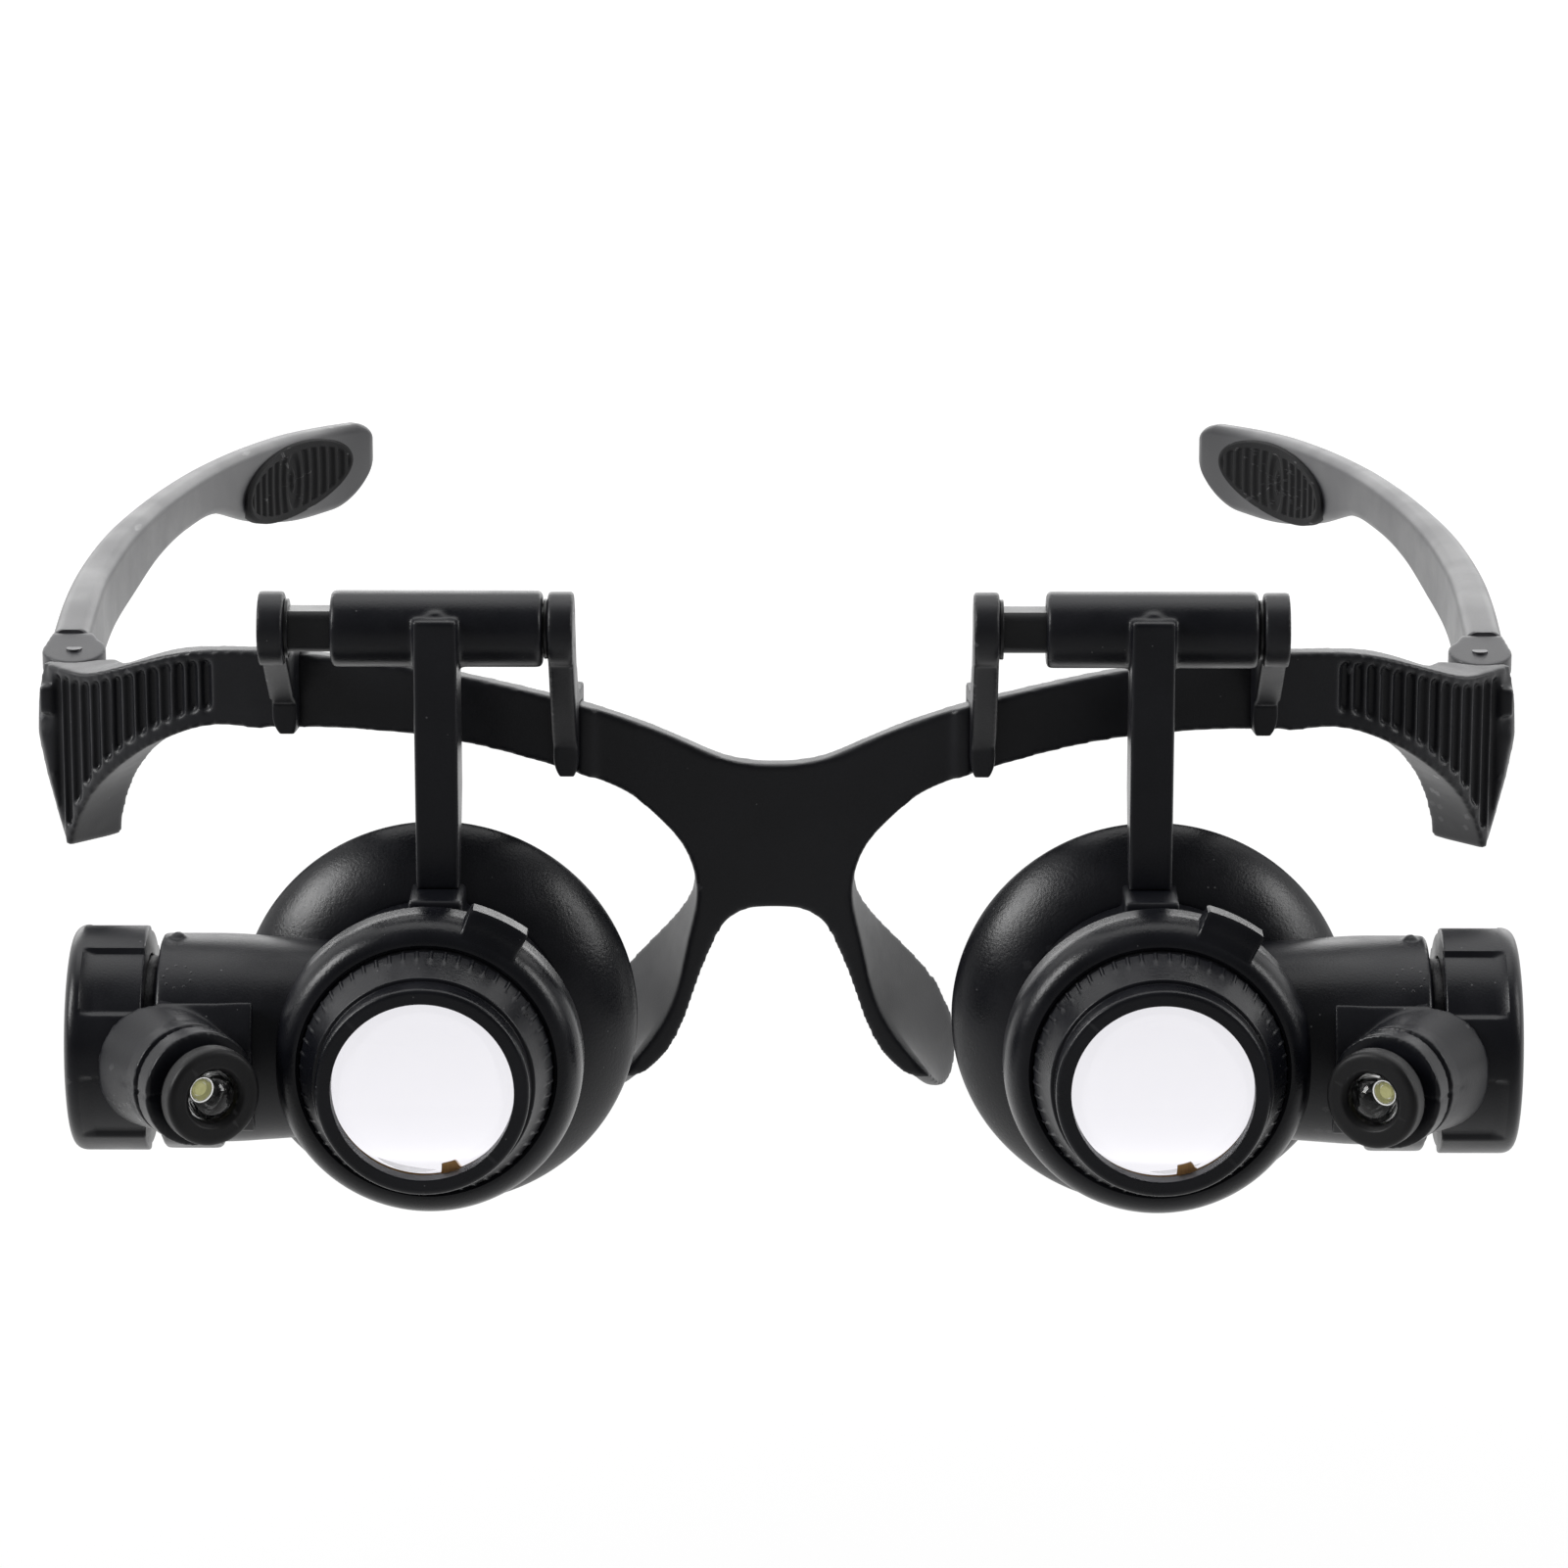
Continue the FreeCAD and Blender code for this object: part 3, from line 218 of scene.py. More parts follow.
def makeGroup(name, shade, outputs, inputs):
    # Inputs are known by their defaults: four numbers are a colour, one is a plain value
    tree = bpy.data.node_groups.new(name, "ShaderNodeTree")
    for label, value in inputs.items():
        kind = "NodeSocketColor" if isinstance(value, tuple) else "NodeSocketFloat"
        tree.interface.new_socket(label, in_out="INPUT", socket_type=kind).default_value = value
    for label, kind in outputs.items():
        tree.interface.new_socket(label, in_out="OUTPUT", socket_type="NodeSocket" + kind)
    given = tree.nodes.new("NodeGroupInput").outputs
    result = tree.nodes.new("NodeGroupOutput").inputs
    fill(tree, result, shade(tree, given, node(tree, "TexCoord", "Object")))
    return tree


def shadeGrain(tree, given, place):
    # Moulded plastic: fine spark-eroded grain, slow flow clouds, and roughness that follows both
    t = texture
    fine = noise(tree, place, given["Grain Scale"], *t["fine"])
    cloud = ramp(tree, noise(tree, place, *t["cloud"]), *t["cloudRange"])
    both = calc(tree, "ADD", calc(tree, "MULTIPLY", cloud, t["cloudShare"]),
                calc(tree, "MULTIPLY", fine, t["fineShare"]))
    bump = {"Distance": t["bump"], "Strength": given["Grain Depth"], "Height": fine}
    return {"Color": mixed(tree, cloud, given["Dark"], given["Light"]),
            "Roughness": ramp(tree, both, low=given["Rough Low"], high=given["Rough High"]),
            "Normal": node(tree, "Bump", "Normal", bump)}


def shadeSpecks(tree, given, place):
    # Sparse dust and moulding specks: small cells of a Voronoi pattern, thinned by a slow noise
    cells = node(tree, "TexVoronoi", "Distance", {"Vector": place, "Scale": given["Scale"]})
    near = calc(tree, "LESS_THAN", cells, given["Size"])
    here = calc(tree, "GREATER_THAN", noise(tree, place, *texture["patch"]), given["Patch"])
    return {"Color": mixed(tree, calc(tree, "MULTIPLY", near, here), given["Color"], given["Speck"])}


def shadePaintedEdgeHighlight(tree, given, place):
    # Painted highlights on convex edges: a lighter tone and a lower roughness, by a mask that grows with how
    # sharply the surface stands out there
    edge = ramp(tree, given["Pointiness"], given["Start"], given["End"], curve="SMOOTHSTEP")
    broken = ramp(tree, noise(tree, place, *texture["broken"]), *texture["brokenRange"])
    mask = calc(tree, "MULTIPLY", calc(tree, "MULTIPLY", edge, broken), given["Amount"], clamp=True)
    return {"Color": mixed(tree, mask, given["Color"], given["Painted Highlight"]),
            "Roughness": mixed(tree, mask, given["Roughness"], given["Highlight Roughness"], "FLOAT")}


mouldGrain = makeGroup("mouldGrain", shadeGrain,
                       {"Color": "Color", "Roughness": "Float", "Normal": "Vector"},
                       {"Dark": (0.01, 0.01, 0.012, 1), "Light": (0.03, 0.03, 0.034, 1),
                        "Grain Scale": 4000.0, "Grain Depth": 0.3, "Rough Low": 0.3, "Rough High": 0.5})
dustSpecks = makeGroup("dustSpecks", shadeSpecks, {"Color": "Color"},
                       {"Color": (0.01, 0.01, 0.01, 1), "Speck": (0.3, 0.3, 0.32, 1), "Scale": 700.0,
                        "Size": 0.12, "Patch": 0.55})
# Painted edge highlight: convex edges turn lighter and glossier, standing in for the lamps' gleam along them
paintedEdgeHighlight = makeGroup("paintedEdgeHighlight", shadePaintedEdgeHighlight, {"Color": "Color", "Roughness": "Float"},
                     {"Color": (0.01, 0.01, 0.01, 1), "Painted Highlight": (0.08, 0.08, 0.085, 1), "Roughness": 0.4,
                      "Highlight Roughness": 0.22, "Pointiness": 0.5, "Start": 0.53, "End": 0.62,
                      "Amount": 0.7})

# Finishes

# Dark and light tone, grain's scale and depth, least and most roughness, specular, specks' scale,
# size and patches, painted edge highlight tone and how much of it shows
finishes = {
    "frontPlastic": ((0.0065, 0.007, 0.0100), (0.0105, 0.011, 0.0150), 5200.0, 0.35, (0.34, 0.48), 0.62,
                     (620.0, 0.05, 0.58), (0.10, 0.10, 0.108), 0.8),
    "templePlastic": ((0.019, 0.0192, 0.0230), (0.028, 0.0283, 0.034), 5200.0, 0.3, (0.32, 0.44), 0.75,
                      (620.0, 0.05, 0.62), (0.12, 0.12, 0.125), 0.5),
    "loupePlastic": ((0.0055, 0.006, 0.0090), (0.0095, 0.010, 0.0140), 4200.0, 0.45, (0.26, 0.42), 0.5,
                     (700.0, 0.07, 0.54), (0.09, 0.09, 0.095), 0.7),
    "cupPlastic": ((0.005, 0.0055, 0.0080), (0.008, 0.0085, 0.0125), 3200.0, 0.6, (0.22, 0.38), 0.5,
                   (900.0, 0.08, 0.55), (0.10, 0.10, 0.105), 0.2),
    "rodPlastic": ((0.008, 0.0085, 0.010), (0.014, 0.0145, 0.016), 3600.0, 0.35, (0.28, 0.40), 0.5,
                   (700.0, 0.05, 0.6), (0.09, 0.09, 0.095), 0.6),
    "padRubber": ((0.008, 0.008, 0.009), (0.014, 0.014, 0.015), 6000.0, 0.6, (0.62, 0.80), 0.2,
                  (800.0, 0.04, 0.6), (0.04, 0.04, 0.043), 0.9),
    "holderRubber": ((0.006, 0.006, 0.007), (0.011, 0.011, 0.012), 5600.0, 0.5, (0.36, 0.54), 0.45,
                     (800.0, 0.06, 0.58), (0.05, 0.05, 0.053), 0.6)}
speckColor = (0.10, 0.10, 0.105, 1)
# Pointiness at which the painted edge highlight starts and is full
paintedHighlightRange = (0.525, 0.60)


def shadePlastic(tree, dark, light, grainScale, depth, rough, specular, specks, paintedHighlightTone, amount):
    grain = node(tree, "Group", None, {
        "Dark": (*dark, 1), "Light": (*light, 1), "Grain Scale": grainScale, "Grain Depth": depth,
        "Rough Low": rough[0], "Rough High": rough[1]}, node_tree=mouldGrain)
    scale, size, patch = specks
    dusty = node(tree, "Group", "Color", {"Color": grain["Color"], "Speck": speckColor, "Scale": scale,
                                         "Size": size, "Patch": patch}, node_tree=dustSpecks)
    # Painted highlight along convex edges, laid over the grain and the specks
    paintedEdge = node(tree, "Group", None, {
        "Color": dusty, "Roughness": grain["Roughness"], "Painted Highlight": (*paintedHighlightTone, 1), "Amount": amount,
        "Start": paintedHighlightRange[0], "End": paintedHighlightRange[1],
        "Pointiness": node(tree, "NewGeometry", "Pointiness")}, node_tree=paintedEdgeHighlight)
    return {"Base Color": paintedEdge["Color"], "Roughness": paintedEdge["Roughness"], "Normal": grain["Normal"],
            "Specular IOR Level": specular}


# Dark tone, light tone and roughness
metals = {"cellSteel": ((0.62, 0.62, 0.61), (0.76, 0.76, 0.75), 0.22),
          "brass": ((0.50, 0.35, 0.14), (0.70, 0.51, 0.24), 0.30),
          "spring": ((0.20, 0.11, 0.045), (0.34, 0.20, 0.08), 0.34),
          "blackSteel": ((0.11, 0.11, 0.115), (0.19, 0.19, 0.195), 0.38),
          "silver": ((0.70, 0.70, 0.70), (0.86, 0.86, 0.84), 0.16)}
brushing = {"scale": (9000.0, 500.0, 500.0), "detail": 3.0, "low": 0.7, "high": 1.4}


def shadeMetal(tree, dark, light, rough):
    # Turned metal: fine rings of brushing across the piece's own X axis
    place = node(tree, "TexCoord", "Object")
    drawn = node(tree, "Mapping", "Vector", {"Vector": place, "Scale": brushing["scale"]})
    brushed = noise(tree, drawn, 1.0, brushing["detail"])
    return {"Metallic": 1.0, "Base Color": mixed(tree, brushed, (*dark, 1), (*light, 1)),
            "Roughness": ramp(tree, brushed, low=rough * brushing["low"], high=rough * brushing["high"])}


# Tint, index, least and most roughness, specular
glasses = {"lensGlass": ((0.875, 0.865, 0.905), 1.49, 0.0, 0.004, 0.5),
           "lampResin": ((0.95, 0.955, 0.945), 1.53, 0.0, 0.02, 1.0)}
smears = {"noise": (300.0, 2.0), "range": (0.4, 0.8), "lighter": 0.02}


def shadeGlass(tree, tint, index, low, high, specular):
    # Clear plastic or resin whose polish varies a little over the surface
    smear = noise(tree, node(tree, "TexCoord", "Object"), *smears["noise"])
    lighter = [min(1.0, part + smears["lighter"]) for part in tint]
    return {"Transmission Weight": 1.0, "IOR": index, "Specular IOR Level": specular,
            "Base Color": mixed(tree, smear, (*tint, 1), (*lighter, 1)),
            "Roughness": ramp(tree, smear, *smears["range"], low, high)}


# The chip's glow is painted light: the lamp is off, and the glow stands in for daylight that the dome keeps
# from it
phosphorPaintedGlow = {"noise": (2600.0, 3.0), "dark": (0.42, 0.41, 0.17, 1), "light": (0.60, 0.59, 0.30, 1),
            "rough": 0.6, "glow": 0.25}


def shadePaintedGlowPhosphor(tree):
    # The lamp's chip: a pressed yellow powder, a little uneven, with a faint painted glow that stands in for
    # the daylight reaching it through the clear dome
    powder = noise(tree, node(tree, "TexCoord", "Object"), *phosphorPaintedGlow["noise"])
    tone = mixed(tree, powder, phosphorPaintedGlow["dark"], phosphorPaintedGlow["light"])
    return {"Base Color": tone, "Emission Color": tone, "Roughness": phosphorPaintedGlow["rough"],
            "Emission Strength": phosphorPaintedGlow["glow"]}


materials = {name: makeMaterial(name, shadePlastic, *look) for name, look in finishes.items()}
materials.update({name: makeMaterial(name, shadeMetal, *look) for name, look in metals.items()})
materials.update({name: makeMaterial(name, shadeGlass, *look) for name, look in glasses.items()})
materials["phosphorPaintedGlow"] = makeMaterial("phosphorPaintedGlow", shadePaintedGlowPhosphor)

# Each slot's finish, and the pieces that have it
slots = {"frame_plastic": ("frontPlastic", "front_frame hinge_block outer_lug inner_lug"),
         "temple_plastic": ("templePlastic", "temple_arm"), "rod_plastic": ("rodPlastic", "slide_rod"),
         "loupe_plastic": ("loupePlastic", "loupe_arm loupe_body battery_cap lamp_bracket"),
         "cup_plastic": ("cupPlastic", "eyecup lock_ring lens_tube"),
         "pad_rubber": ("padRubber", "ear_pad"), "holder_rubber": ("holderRubber", "lamp_holder"),
         "lens_glass": ("lensGlass", "lens"), "lamp_resin": ("lampResin", "led"),
         "steel": ("blackSteel", "hinge_screw"), "cell_steel": ("cellSteel", "battery_cells"),
         "brass": ("brass", "retaining_ring cap_contact cell_spring contact_strip")}
slotFinish = {slot: finish for slot, (finish, kinds) in slots.items()}
nodeSlots = {kind: slot for slot, (finish, kinds) in slots.items() for kind in kinds.split()}


def kindOf(nodeName):
    return nodeName if nodeName in nodeSlots else nodeName.split("_", 1)[1]


for name, piece in frame["nodes"].items():
    piece.data.materials.clear()
    piece.data.materials.append(materials[slotFinish[nodeSlots[kindOf(name)]]])
print("finishes made")

# Mesh making. Points are in millimetres until a mesh is made of them


def meshOf(name, patches):
    # Patches are (grid of points, rows close, columns close). A row or column that closes meets its start
    points = []
    quads = []
    start = 0
    for grid, rowsClose, columnsClose in patches:
        rows, columns = grid.shape[:2]
        index = start + np.arange(rows * columns).reshape(rows, columns)
        if rowsClose:
            index = np.vstack((index, index[:1]))
        if columnsClose:
            index = np.hstack((index, index[:, :1]))
        quads.append(np.stack((index[:-1, :-1], index[1:, :-1], index[1:, 1:], index[:-1, 1:]),
                              -1).reshape(-1, 4))
        points.append(grid.reshape(-1, 3))
        start += rows * columns
    mesh = bpy.data.meshes.new(name)
    mesh.from_pydata((np.concatenate(points) * mm).tolist(), [], np.concatenate(quads).tolist())
    work = bmesh.new()
    work.from_mesh(mesh)
    bmesh.ops.remove_doubles(work, verts=work.verts, dist=1e-6)
    bmesh.ops.dissolve_degenerate(work, edges=work.edges, dist=1e-7)
    bmesh.ops.recalc_face_normals(work, faces=work.faces)
    work.to_mesh(mesh)
    work.free()
    return mesh


def addPiece(name, mesh, body, slotName, nodes=(), finish=None, sharpAngle=32):
    mesh.polygons.foreach_set("use_smooth", np.ones(len(mesh.polygons), bool))
    mesh.set_sharp_from_angle(angle=math.radians(sharpAngle))
    mesh.materials.clear()
    mesh.materials.append(materials[finish or slotFinish[slotName]])
    piece = bpy.data.objects.new(name, mesh)
    bpy.context.scene.collection.objects.link(piece)
    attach(piece, body)
    if nodes:
        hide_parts(*nodes)


bodyOf = {name: body for body, members in frame["record"]["behaviour"]["bodies"].items()
          for name in members}


def dress(nodeName, ending, shape, **options):
    # The piece that stands for one fixed piece, made of patches or of a mesh
    name = f"{nodeName}_{ending}"
    mesh = meshOf(name, shape) if isinstance(shape, list) else shape
    addPiece(name, mesh, bodyOf[nodeName], nodeSlots[kindOf(nodeName)], [nodeName], **options)


def skinOf(mesh, grain):
    # Shells joined into one skin of small squares
    helper = bpy.data.objects.new(mesh.name + "Helper", mesh)
    bpy.context.scene.collection.objects.link(helper)
    skin = helper.modifiers.new("skin", "REMESH")
    skin.mode = "VOXEL"
    skin.voxel_size = grain * mm
    skin.adaptivity = 0.0
    view = bpy.context.evaluated_depsgraph_get()
    made = bpy.data.meshes.new_from_object(helper.evaluated_get(view), depsgraph=view)
    bpy.data.objects.remove(helper)
    made.name = mesh.name + "Skin"
    return made


def pointsOf(mesh):
    points = np.empty(len(mesh.vertices) * 3)
    mesh.vertices.foreach_get("co", points)
    return points.reshape(-1, 3) / mm


def setPoints(mesh, points):
    mesh.vertices.foreach_set("co", (points * mm).ravel())
    mesh.update()


def soften(mesh, rounds, share=0.5):
    # Each point moves a share of the way to the mean of its neighbours, again and again
    points = pointsOf(mesh)
    ends = np.empty(len(mesh.edges) * 2, np.int32)
    mesh.edges.foreach_get("vertices", ends)
    first, second = ends.reshape(-1, 2).T
    both = np.concatenate((first, second))
    other = np.concatenate((second, first))
    count = np.bincount(both, minlength=len(points))[:, None]
    amount = np.reshape(np.broadcast_to(share, len(points)), (-1, 1))
    for step in range(rounds):
        total = np.stack([np.bincount(both, points[other, axis], len(points)) for axis in range(3)], 1)
        points = points + amount * (total / count - points)
    setPoints(mesh, points)
    return mesh


def moulded(mesh, grain, rounds):
    return soften(skinOf(mesh, grain), rounds)


def unit(value):
    return np.clip(value, 0, 1)


def smooth(value):
    return value * value * (3 - 2 * value)


def nodeMesh(nodeName):
    # A merged copy of a fixed piece's mesh
    mesh = frame["nodes"][nodeName].data.copy()
    work = bmesh.new()
    work.from_mesh(mesh)
    bmesh.ops.remove_doubles(work, verts=work.verts, dist=2e-6)
    work.to_mesh(mesh)
    work.free()
    return mesh


def eased(corners, closed=True, steps=5):
    # Corners are (a, b, ease). Each becomes a quadratic Bezier curve that leaves its edges at that ease
    points = np.array([corner[:2] for corner in corners], float)
    ease = np.array([corner[2] if len(corner) > 2 else 0.0 for corner in corners])
    back = np.roll(points, 1, 0) - points
    on = np.roll(points, -1, 0) - points
    backLength = np.linalg.norm(back, axis=1)
    onLength = np.linalg.norm(on, axis=1)
    cut = np.minimum(ease, 0.4 * np.minimum(backLength, onLength))
    if not closed:
        cut[0] = cut[-1] = 0
    back = back / backLength[:, None] * cut[:, None]
    on = on / onLength[:, None] * cut[:, None]
    t = np.linspace(0, 1, steps + 1)[None, :, None]
    bend = points[:, None] + (1 - t) ** 2 * back[:, None] + t ** 2 * on[:, None]
    rows = np.concatenate(((points + back * 1.2)[:, None], bend, (points + on * 1.2)[:, None]), 1)
    rows = rows.reshape(-1, 2)
    return rows[len(bend[0]) // 2 + 1:-(len(bend[0]) // 2 + 1)] if not closed else rows


def lathe(profile, frameOf, around=160, change=None):
    # A profile of (radius, distance) carried once round an axis: centre + r cos t E1 + r sin t E2 + d A.
    # It closes on itself unless it starts on the axis
    centre, first, second, axis = (np.array(v, float) for v in frameOf)
    angle = np.linspace(0, tau, around, endpoint=False)[None, :]
    radius = np.repeat(profile[:, :1], around, 1)
    along = np.repeat(profile[:, 1:2], around, 1)
    if change:
        radius, along = change(radius, along, angle + 0 * radius)
    points = (centre + (radius * np.cos(angle))[..., None] * first
              + (radius * np.sin(angle))[..., None] * second + along[..., None] * axis)
    return points, profile[0, 0] > 1e-6, True


def boxShell(low, high):
    # Six sides as one grid: four sides round and two ends drawn in to a point in their middle
    low = np.array(low, float)
    high = np.array(high, float)
    middle = (low + high) / 2
    ring = np.array([(0, 0), (1, 0), (1, 1), (0, 1)], float)
    rows = []
    for z, spread in ((0, 0.0), (0, 1.0), (1, 1.0), (1, 0.0)):
        flat = np.column_stack((ring, np.full(4, z)))
        points = low + flat * (high - low)
        centre = np.array((middle[0], middle[1], points[0, 2]))
        rows.append(centre + (points - centre) * spread)
    return np.array(rows), False, True


def slab(outline, low, high):
    # An outline of (y, z) carried along X, with fans over its ends
    outline = np.array(outline, float)
    centre = outline.mean(0)
    rows = []
    for x, spread in ((low, 0.0), (low, 1.0), (high, 1.0), (high, 0.0)):
        ring = centre + (outline - centre) * spread
        rows.append(np.column_stack((np.full(len(ring), x), ring)))
    return np.array(rows), False, True


# Places that the frame gives

def boxOf(nodeName):
    low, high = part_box(nodeName)
    return np.array(low) / mm, np.array(high) / mm


def middleOf(nodeName):
    return sum(boxOf(nodeName)) / 2


def axisOf(side):
    # The middle of the lens: the loupe's own axis
    return middleOf(f"{side}_lens")


tube = {"y": -13.2, "radius": 10.15, "end": 26.2, "neckRadius": 7.95, "neckEnd": 31.75, "rootRadius": 9.3,
        "rootStart": 9.0, "rootEnd": 19.0, "boreRadius": 6.1, "boreStart": 20.6, "nubAt": 24.6,
        "nubRadius": 0.6, "nubRise": 0.5}


def lensFrame(side):
    # Turned round Y: angles run from +X up to +Z
    centre = axisOf(side)
    return (centre[0], 0, centre[2]), (1, 0, 0), (0, 0, 1), (0, 1, 0)


def tubeFrame(side):
    # Turned round X: angles run from the front up, distances outwards from the lens axis
    centre = axisOf(side)
    return (centre[0], tube["y"], centre[2]), (0, -1, 0), (0, 0, 1), (sides[side], 0, 0)


# Front, lugs, hinge blocks and lamp brackets: the fixed solids with every edge rounded as a mould leaves it

front = {"grain": 0.285, "rounds": 3, "wingTop": -11.0, "wingFade": 6.0, "wingDepth": 8.6, "wingDrop": 2.4,
         "wingReach": 25.0, "wave": 0.8}


def makeFront():
    # The nose wings' feet drop behind the front edge by a part of a sine wave, which rounds them
    k = front
    mesh = moulded(nodeMesh("front_frame"), k["grain"], k["rounds"])
    points = pointsOf(mesh)
    lowness = unit((k["wingTop"] - points[:, 2]) / k["wingFade"])
    onWing = np.abs(points[:, 0]) < k["wingReach"]
    across = unit(points[:, 1] / k["wingDepth"])
    points[:, 2] -= k["wingDrop"] * lowness * onWing * np.sin(k["wave"] * math.pi * across)
    setPoints(mesh, points)
    dress("front_frame", "skin", mesh, sharpAngle=60)


lug = {"grain": 0.17, "rounds": 8, "lip": 0.8, "lipShare": 0.3, "endRound": 1.8, "endShare": 0.7}


def makeLugs(side):
    # What hangs below the bar is drawn up to a share of its depth, and the foot narrows as an ellipse does
    k = lug
    for place in ("outer", "inner"):
        nodeName = f"{side}_{place}_lug"
        mesh = skinOf(nodeMesh(nodeName), k["grain"])
        points = pointsOf(mesh)
        rise = boxOf(nodeName)[0][2] + k["lip"]
        points[:, 2] = np.where(points[:, 2] < rise, rise - (rise - points[:, 2]) * k["lipShare"],
                                points[:, 2])
        t = unit((rise + k["endRound"] - points[:, 2]) / (k["endRound"] + k["lip"] * k["lipShare"]))
        foot = points[t > 0, 0].mean()
        points[:, 0] = foot + (points[:, 0] - foot) * np.sqrt(1 - k["endShare"] * t ** 2)
        setPoints(mesh, points)
        dress(nodeName, "skin", soften(mesh, k["rounds"]), sharpAngle=60)


hinge = {"grain": 0.16, "rounds": 4, "drop": 1.3, "dropFrom": 0.6, "topParts": 4}


def makeHinge(side):
    # The block's top slopes down to the front's own top: the drop grows evenly from its rear to its nose
    k = hinge
    nodeName = f"{side}_hinge_block"
    low, high = boxOf(nodeName)
    mesh = skinOf(nodeMesh(nodeName), k["grain"])
    points = pointsOf(mesh)
    rear = high[1] - k["dropFrom"]
    nearNose = unit((rear - points[:, 1]) / (rear - low[1]))
    nearTop = unit((points[:, 2] - low[2]) / (high[2] - low[2]) * k["topParts"] - (k["topParts"] - 1))
    points[:, 2] -= k["drop"] * nearNose * nearTop
    setPoints(mesh, points)
    dress(nodeName, "skin", soften(mesh, k["rounds"]), finish="templePlastic", sharpAngle=60)


bracket = {"grain": 0.20, "rounds": 19, "clipShare": 0.45, "saddleEdge": 34.0, "clipEdge": 62.0,
           "keepFrom": -3.4, "keepTo": -2.2, "keepLeast": 0.12, "overTube": 0.05, "overPips": 0.08}


def makeBracket(side):
    # The clip is pressed closer to the tube: what stands out past the bore shrinks beyond the saddle.
    # The socket keeps its groove and slit, because points there hardly move
    k = bracket
    nodeName = f"{side}_lamp_bracket"
    mesh = skinOf(nodeMesh(nodeName), k["grain"])
    points = pointsOf(mesh)
    centre = axisOf(side)
    out = points[:, 1:] - (tube["y"], centre[2])
    radius = np.hypot(out[:, 0], out[:, 1])
    angle = np.degrees(np.abs(np.arctan2(out[:, 1], -out[:, 0])))
    press = unit((angle - k["saddleEdge"]) / (k["clipEdge"] - k["saddleEdge"]))
    bore = tube["radius"] + k["overTube"]
    wanted = np.where(radius > bore, bore + (radius - bore) * (1 - press * (1 - k["clipShare"])), radius)
    wanted = np.maximum(wanted, bore + k["overPips"])
    pivot, ahead = lampFrame(side)[0], lampFrame(side)[3]
    reach = (points - pivot) @ np.array(ahead)
    points[:, 1:] = (tube["y"], centre[2]) + out * (wanted / radius)[:, None]
    setPoints(mesh, points)
    share = 0.5 * np.clip((k["keepTo"] - reach) / (k["keepTo"] - k["keepFrom"]), k["keepLeast"], 1)
    dress(nodeName, "skin", soften(mesh, k["rounds"], share), sharpAngle=60)


makeFront()
print("front rounded")

# Slide rods and loupe arms

rod = {"y": -8.2, "z": 29.8, "radius": 2.4, "flat": 2.0, "collar": 2.9, "collarWidth": 0.4, "stub": 1.6,
       "gap": 0.05, "lugWall": 2.5, "edge": 0.12}
sleeve = {"radius": 3.7, "round": 1.0, "mark": 1.3, "markAngle": 18.0,
          "markShape": ((0, -0.7), (1, -0.7), (1, 0.12), (0.55, 0.16), (0.4, -0.25), (0, -0.25))}
arm = {"half": 2.1, "front": -13.0, "rear": -5.6, "top": 31.6, "foot": 5.0, "footRear": -10.5,
       "waist": 13.5, "hook": ((-1.0, 3.0), (-3.0, -0.5), (-2.2, -3.0)), "underRod": 3.2}


def rodFrame(x):
    return (x, rod["y"], rod["z"]), (0, -1, 0), (0, 0, 1), (1, 0, 0)


def makeRod(side):
    low, high = boxOf(f"{side}_slide_rod")
    k, edge = rod, rod["edge"]
    start, end = low[0], high[0]
    inner, outer = start + k["lugWall"], end - k["lugWall"]
    first, last = inner + k["collarWidth"], outer - k["collarWidth"]
    corners = [(0, start), (k["stub"], start, edge), (k["stub"], inner), (k["collar"], inner, edge),
               (k["collar"], first, edge), (k["radius"], first), (k["radius"], last),
               (k["collar"], last, edge), (k["collar"], outer, edge), (k["stub"], outer),
               (k["stub"], end, edge), (0, end)]

    def change(radius, along, angle):
        # Between the collars, the lesser of the round bar's radius and that of four flats
        flat = k["flat"] / np.maximum(np.abs(np.cos(angle)), np.abs(np.sin(angle)))
        inside = (along >= first) & (along <= last) & (radius >= k["radius"])
        return np.where(inside, np.minimum(radius, flat), radius), along
    dress(f"{side}_slide_rod", "turned", [lathe(eased(corners, closed=False), rodFrame(0), 128, change)])


def makeArm(side):
    low, high = boxOf(f"{side}_loupe_arm")
    middle = (low[0] + high[0]) / 2
    half = (high[0] - low[0]) / 2
    k, s = arm, sleeve
    hole = rod["radius"] + rod["gap"]
    bore = lathe(eased([(hole, -half, 0.1), (s["radius"], -half, s["round"]),
                        (s["radius"], half, s["round"]), (hole, half, 0.1)]), rodFrame(middle))
    hook = [(rod["y"] + y, rod["z"] + z) for y, z in k["hook"]]
    plate = slab([(k["front"], k["foot"]), (k["front"], k["top"]), (hook[0][0], k["top"]), *hook,
                  (k["rear"], rod["z"] - k["underRod"]), (k["rear"], k["waist"]),
                  (k["footRear"], k["foot"])], middle - k["half"], middle + k["half"])
    turn = math.radians(s["markAngle"])
    out = (0, -math.cos(turn), math.sin(turn))
    mark = lathe(np.array([(share * s["mark"], s["radius"] + rise) for share, rise in s["markShape"]]),
                 ((middle, rod["y"], rod["z"]), (1, 0, 0), (0, out[2], -out[1]), out), 32)
    dress(f"{side}_loupe_arm", "skin", moulded(meshOf("loupeArm", [bore, plate, mark]), 0.21, 4),
          sharpAngle=60)


# Loupe body: barrel, battery tube and foot in one skin

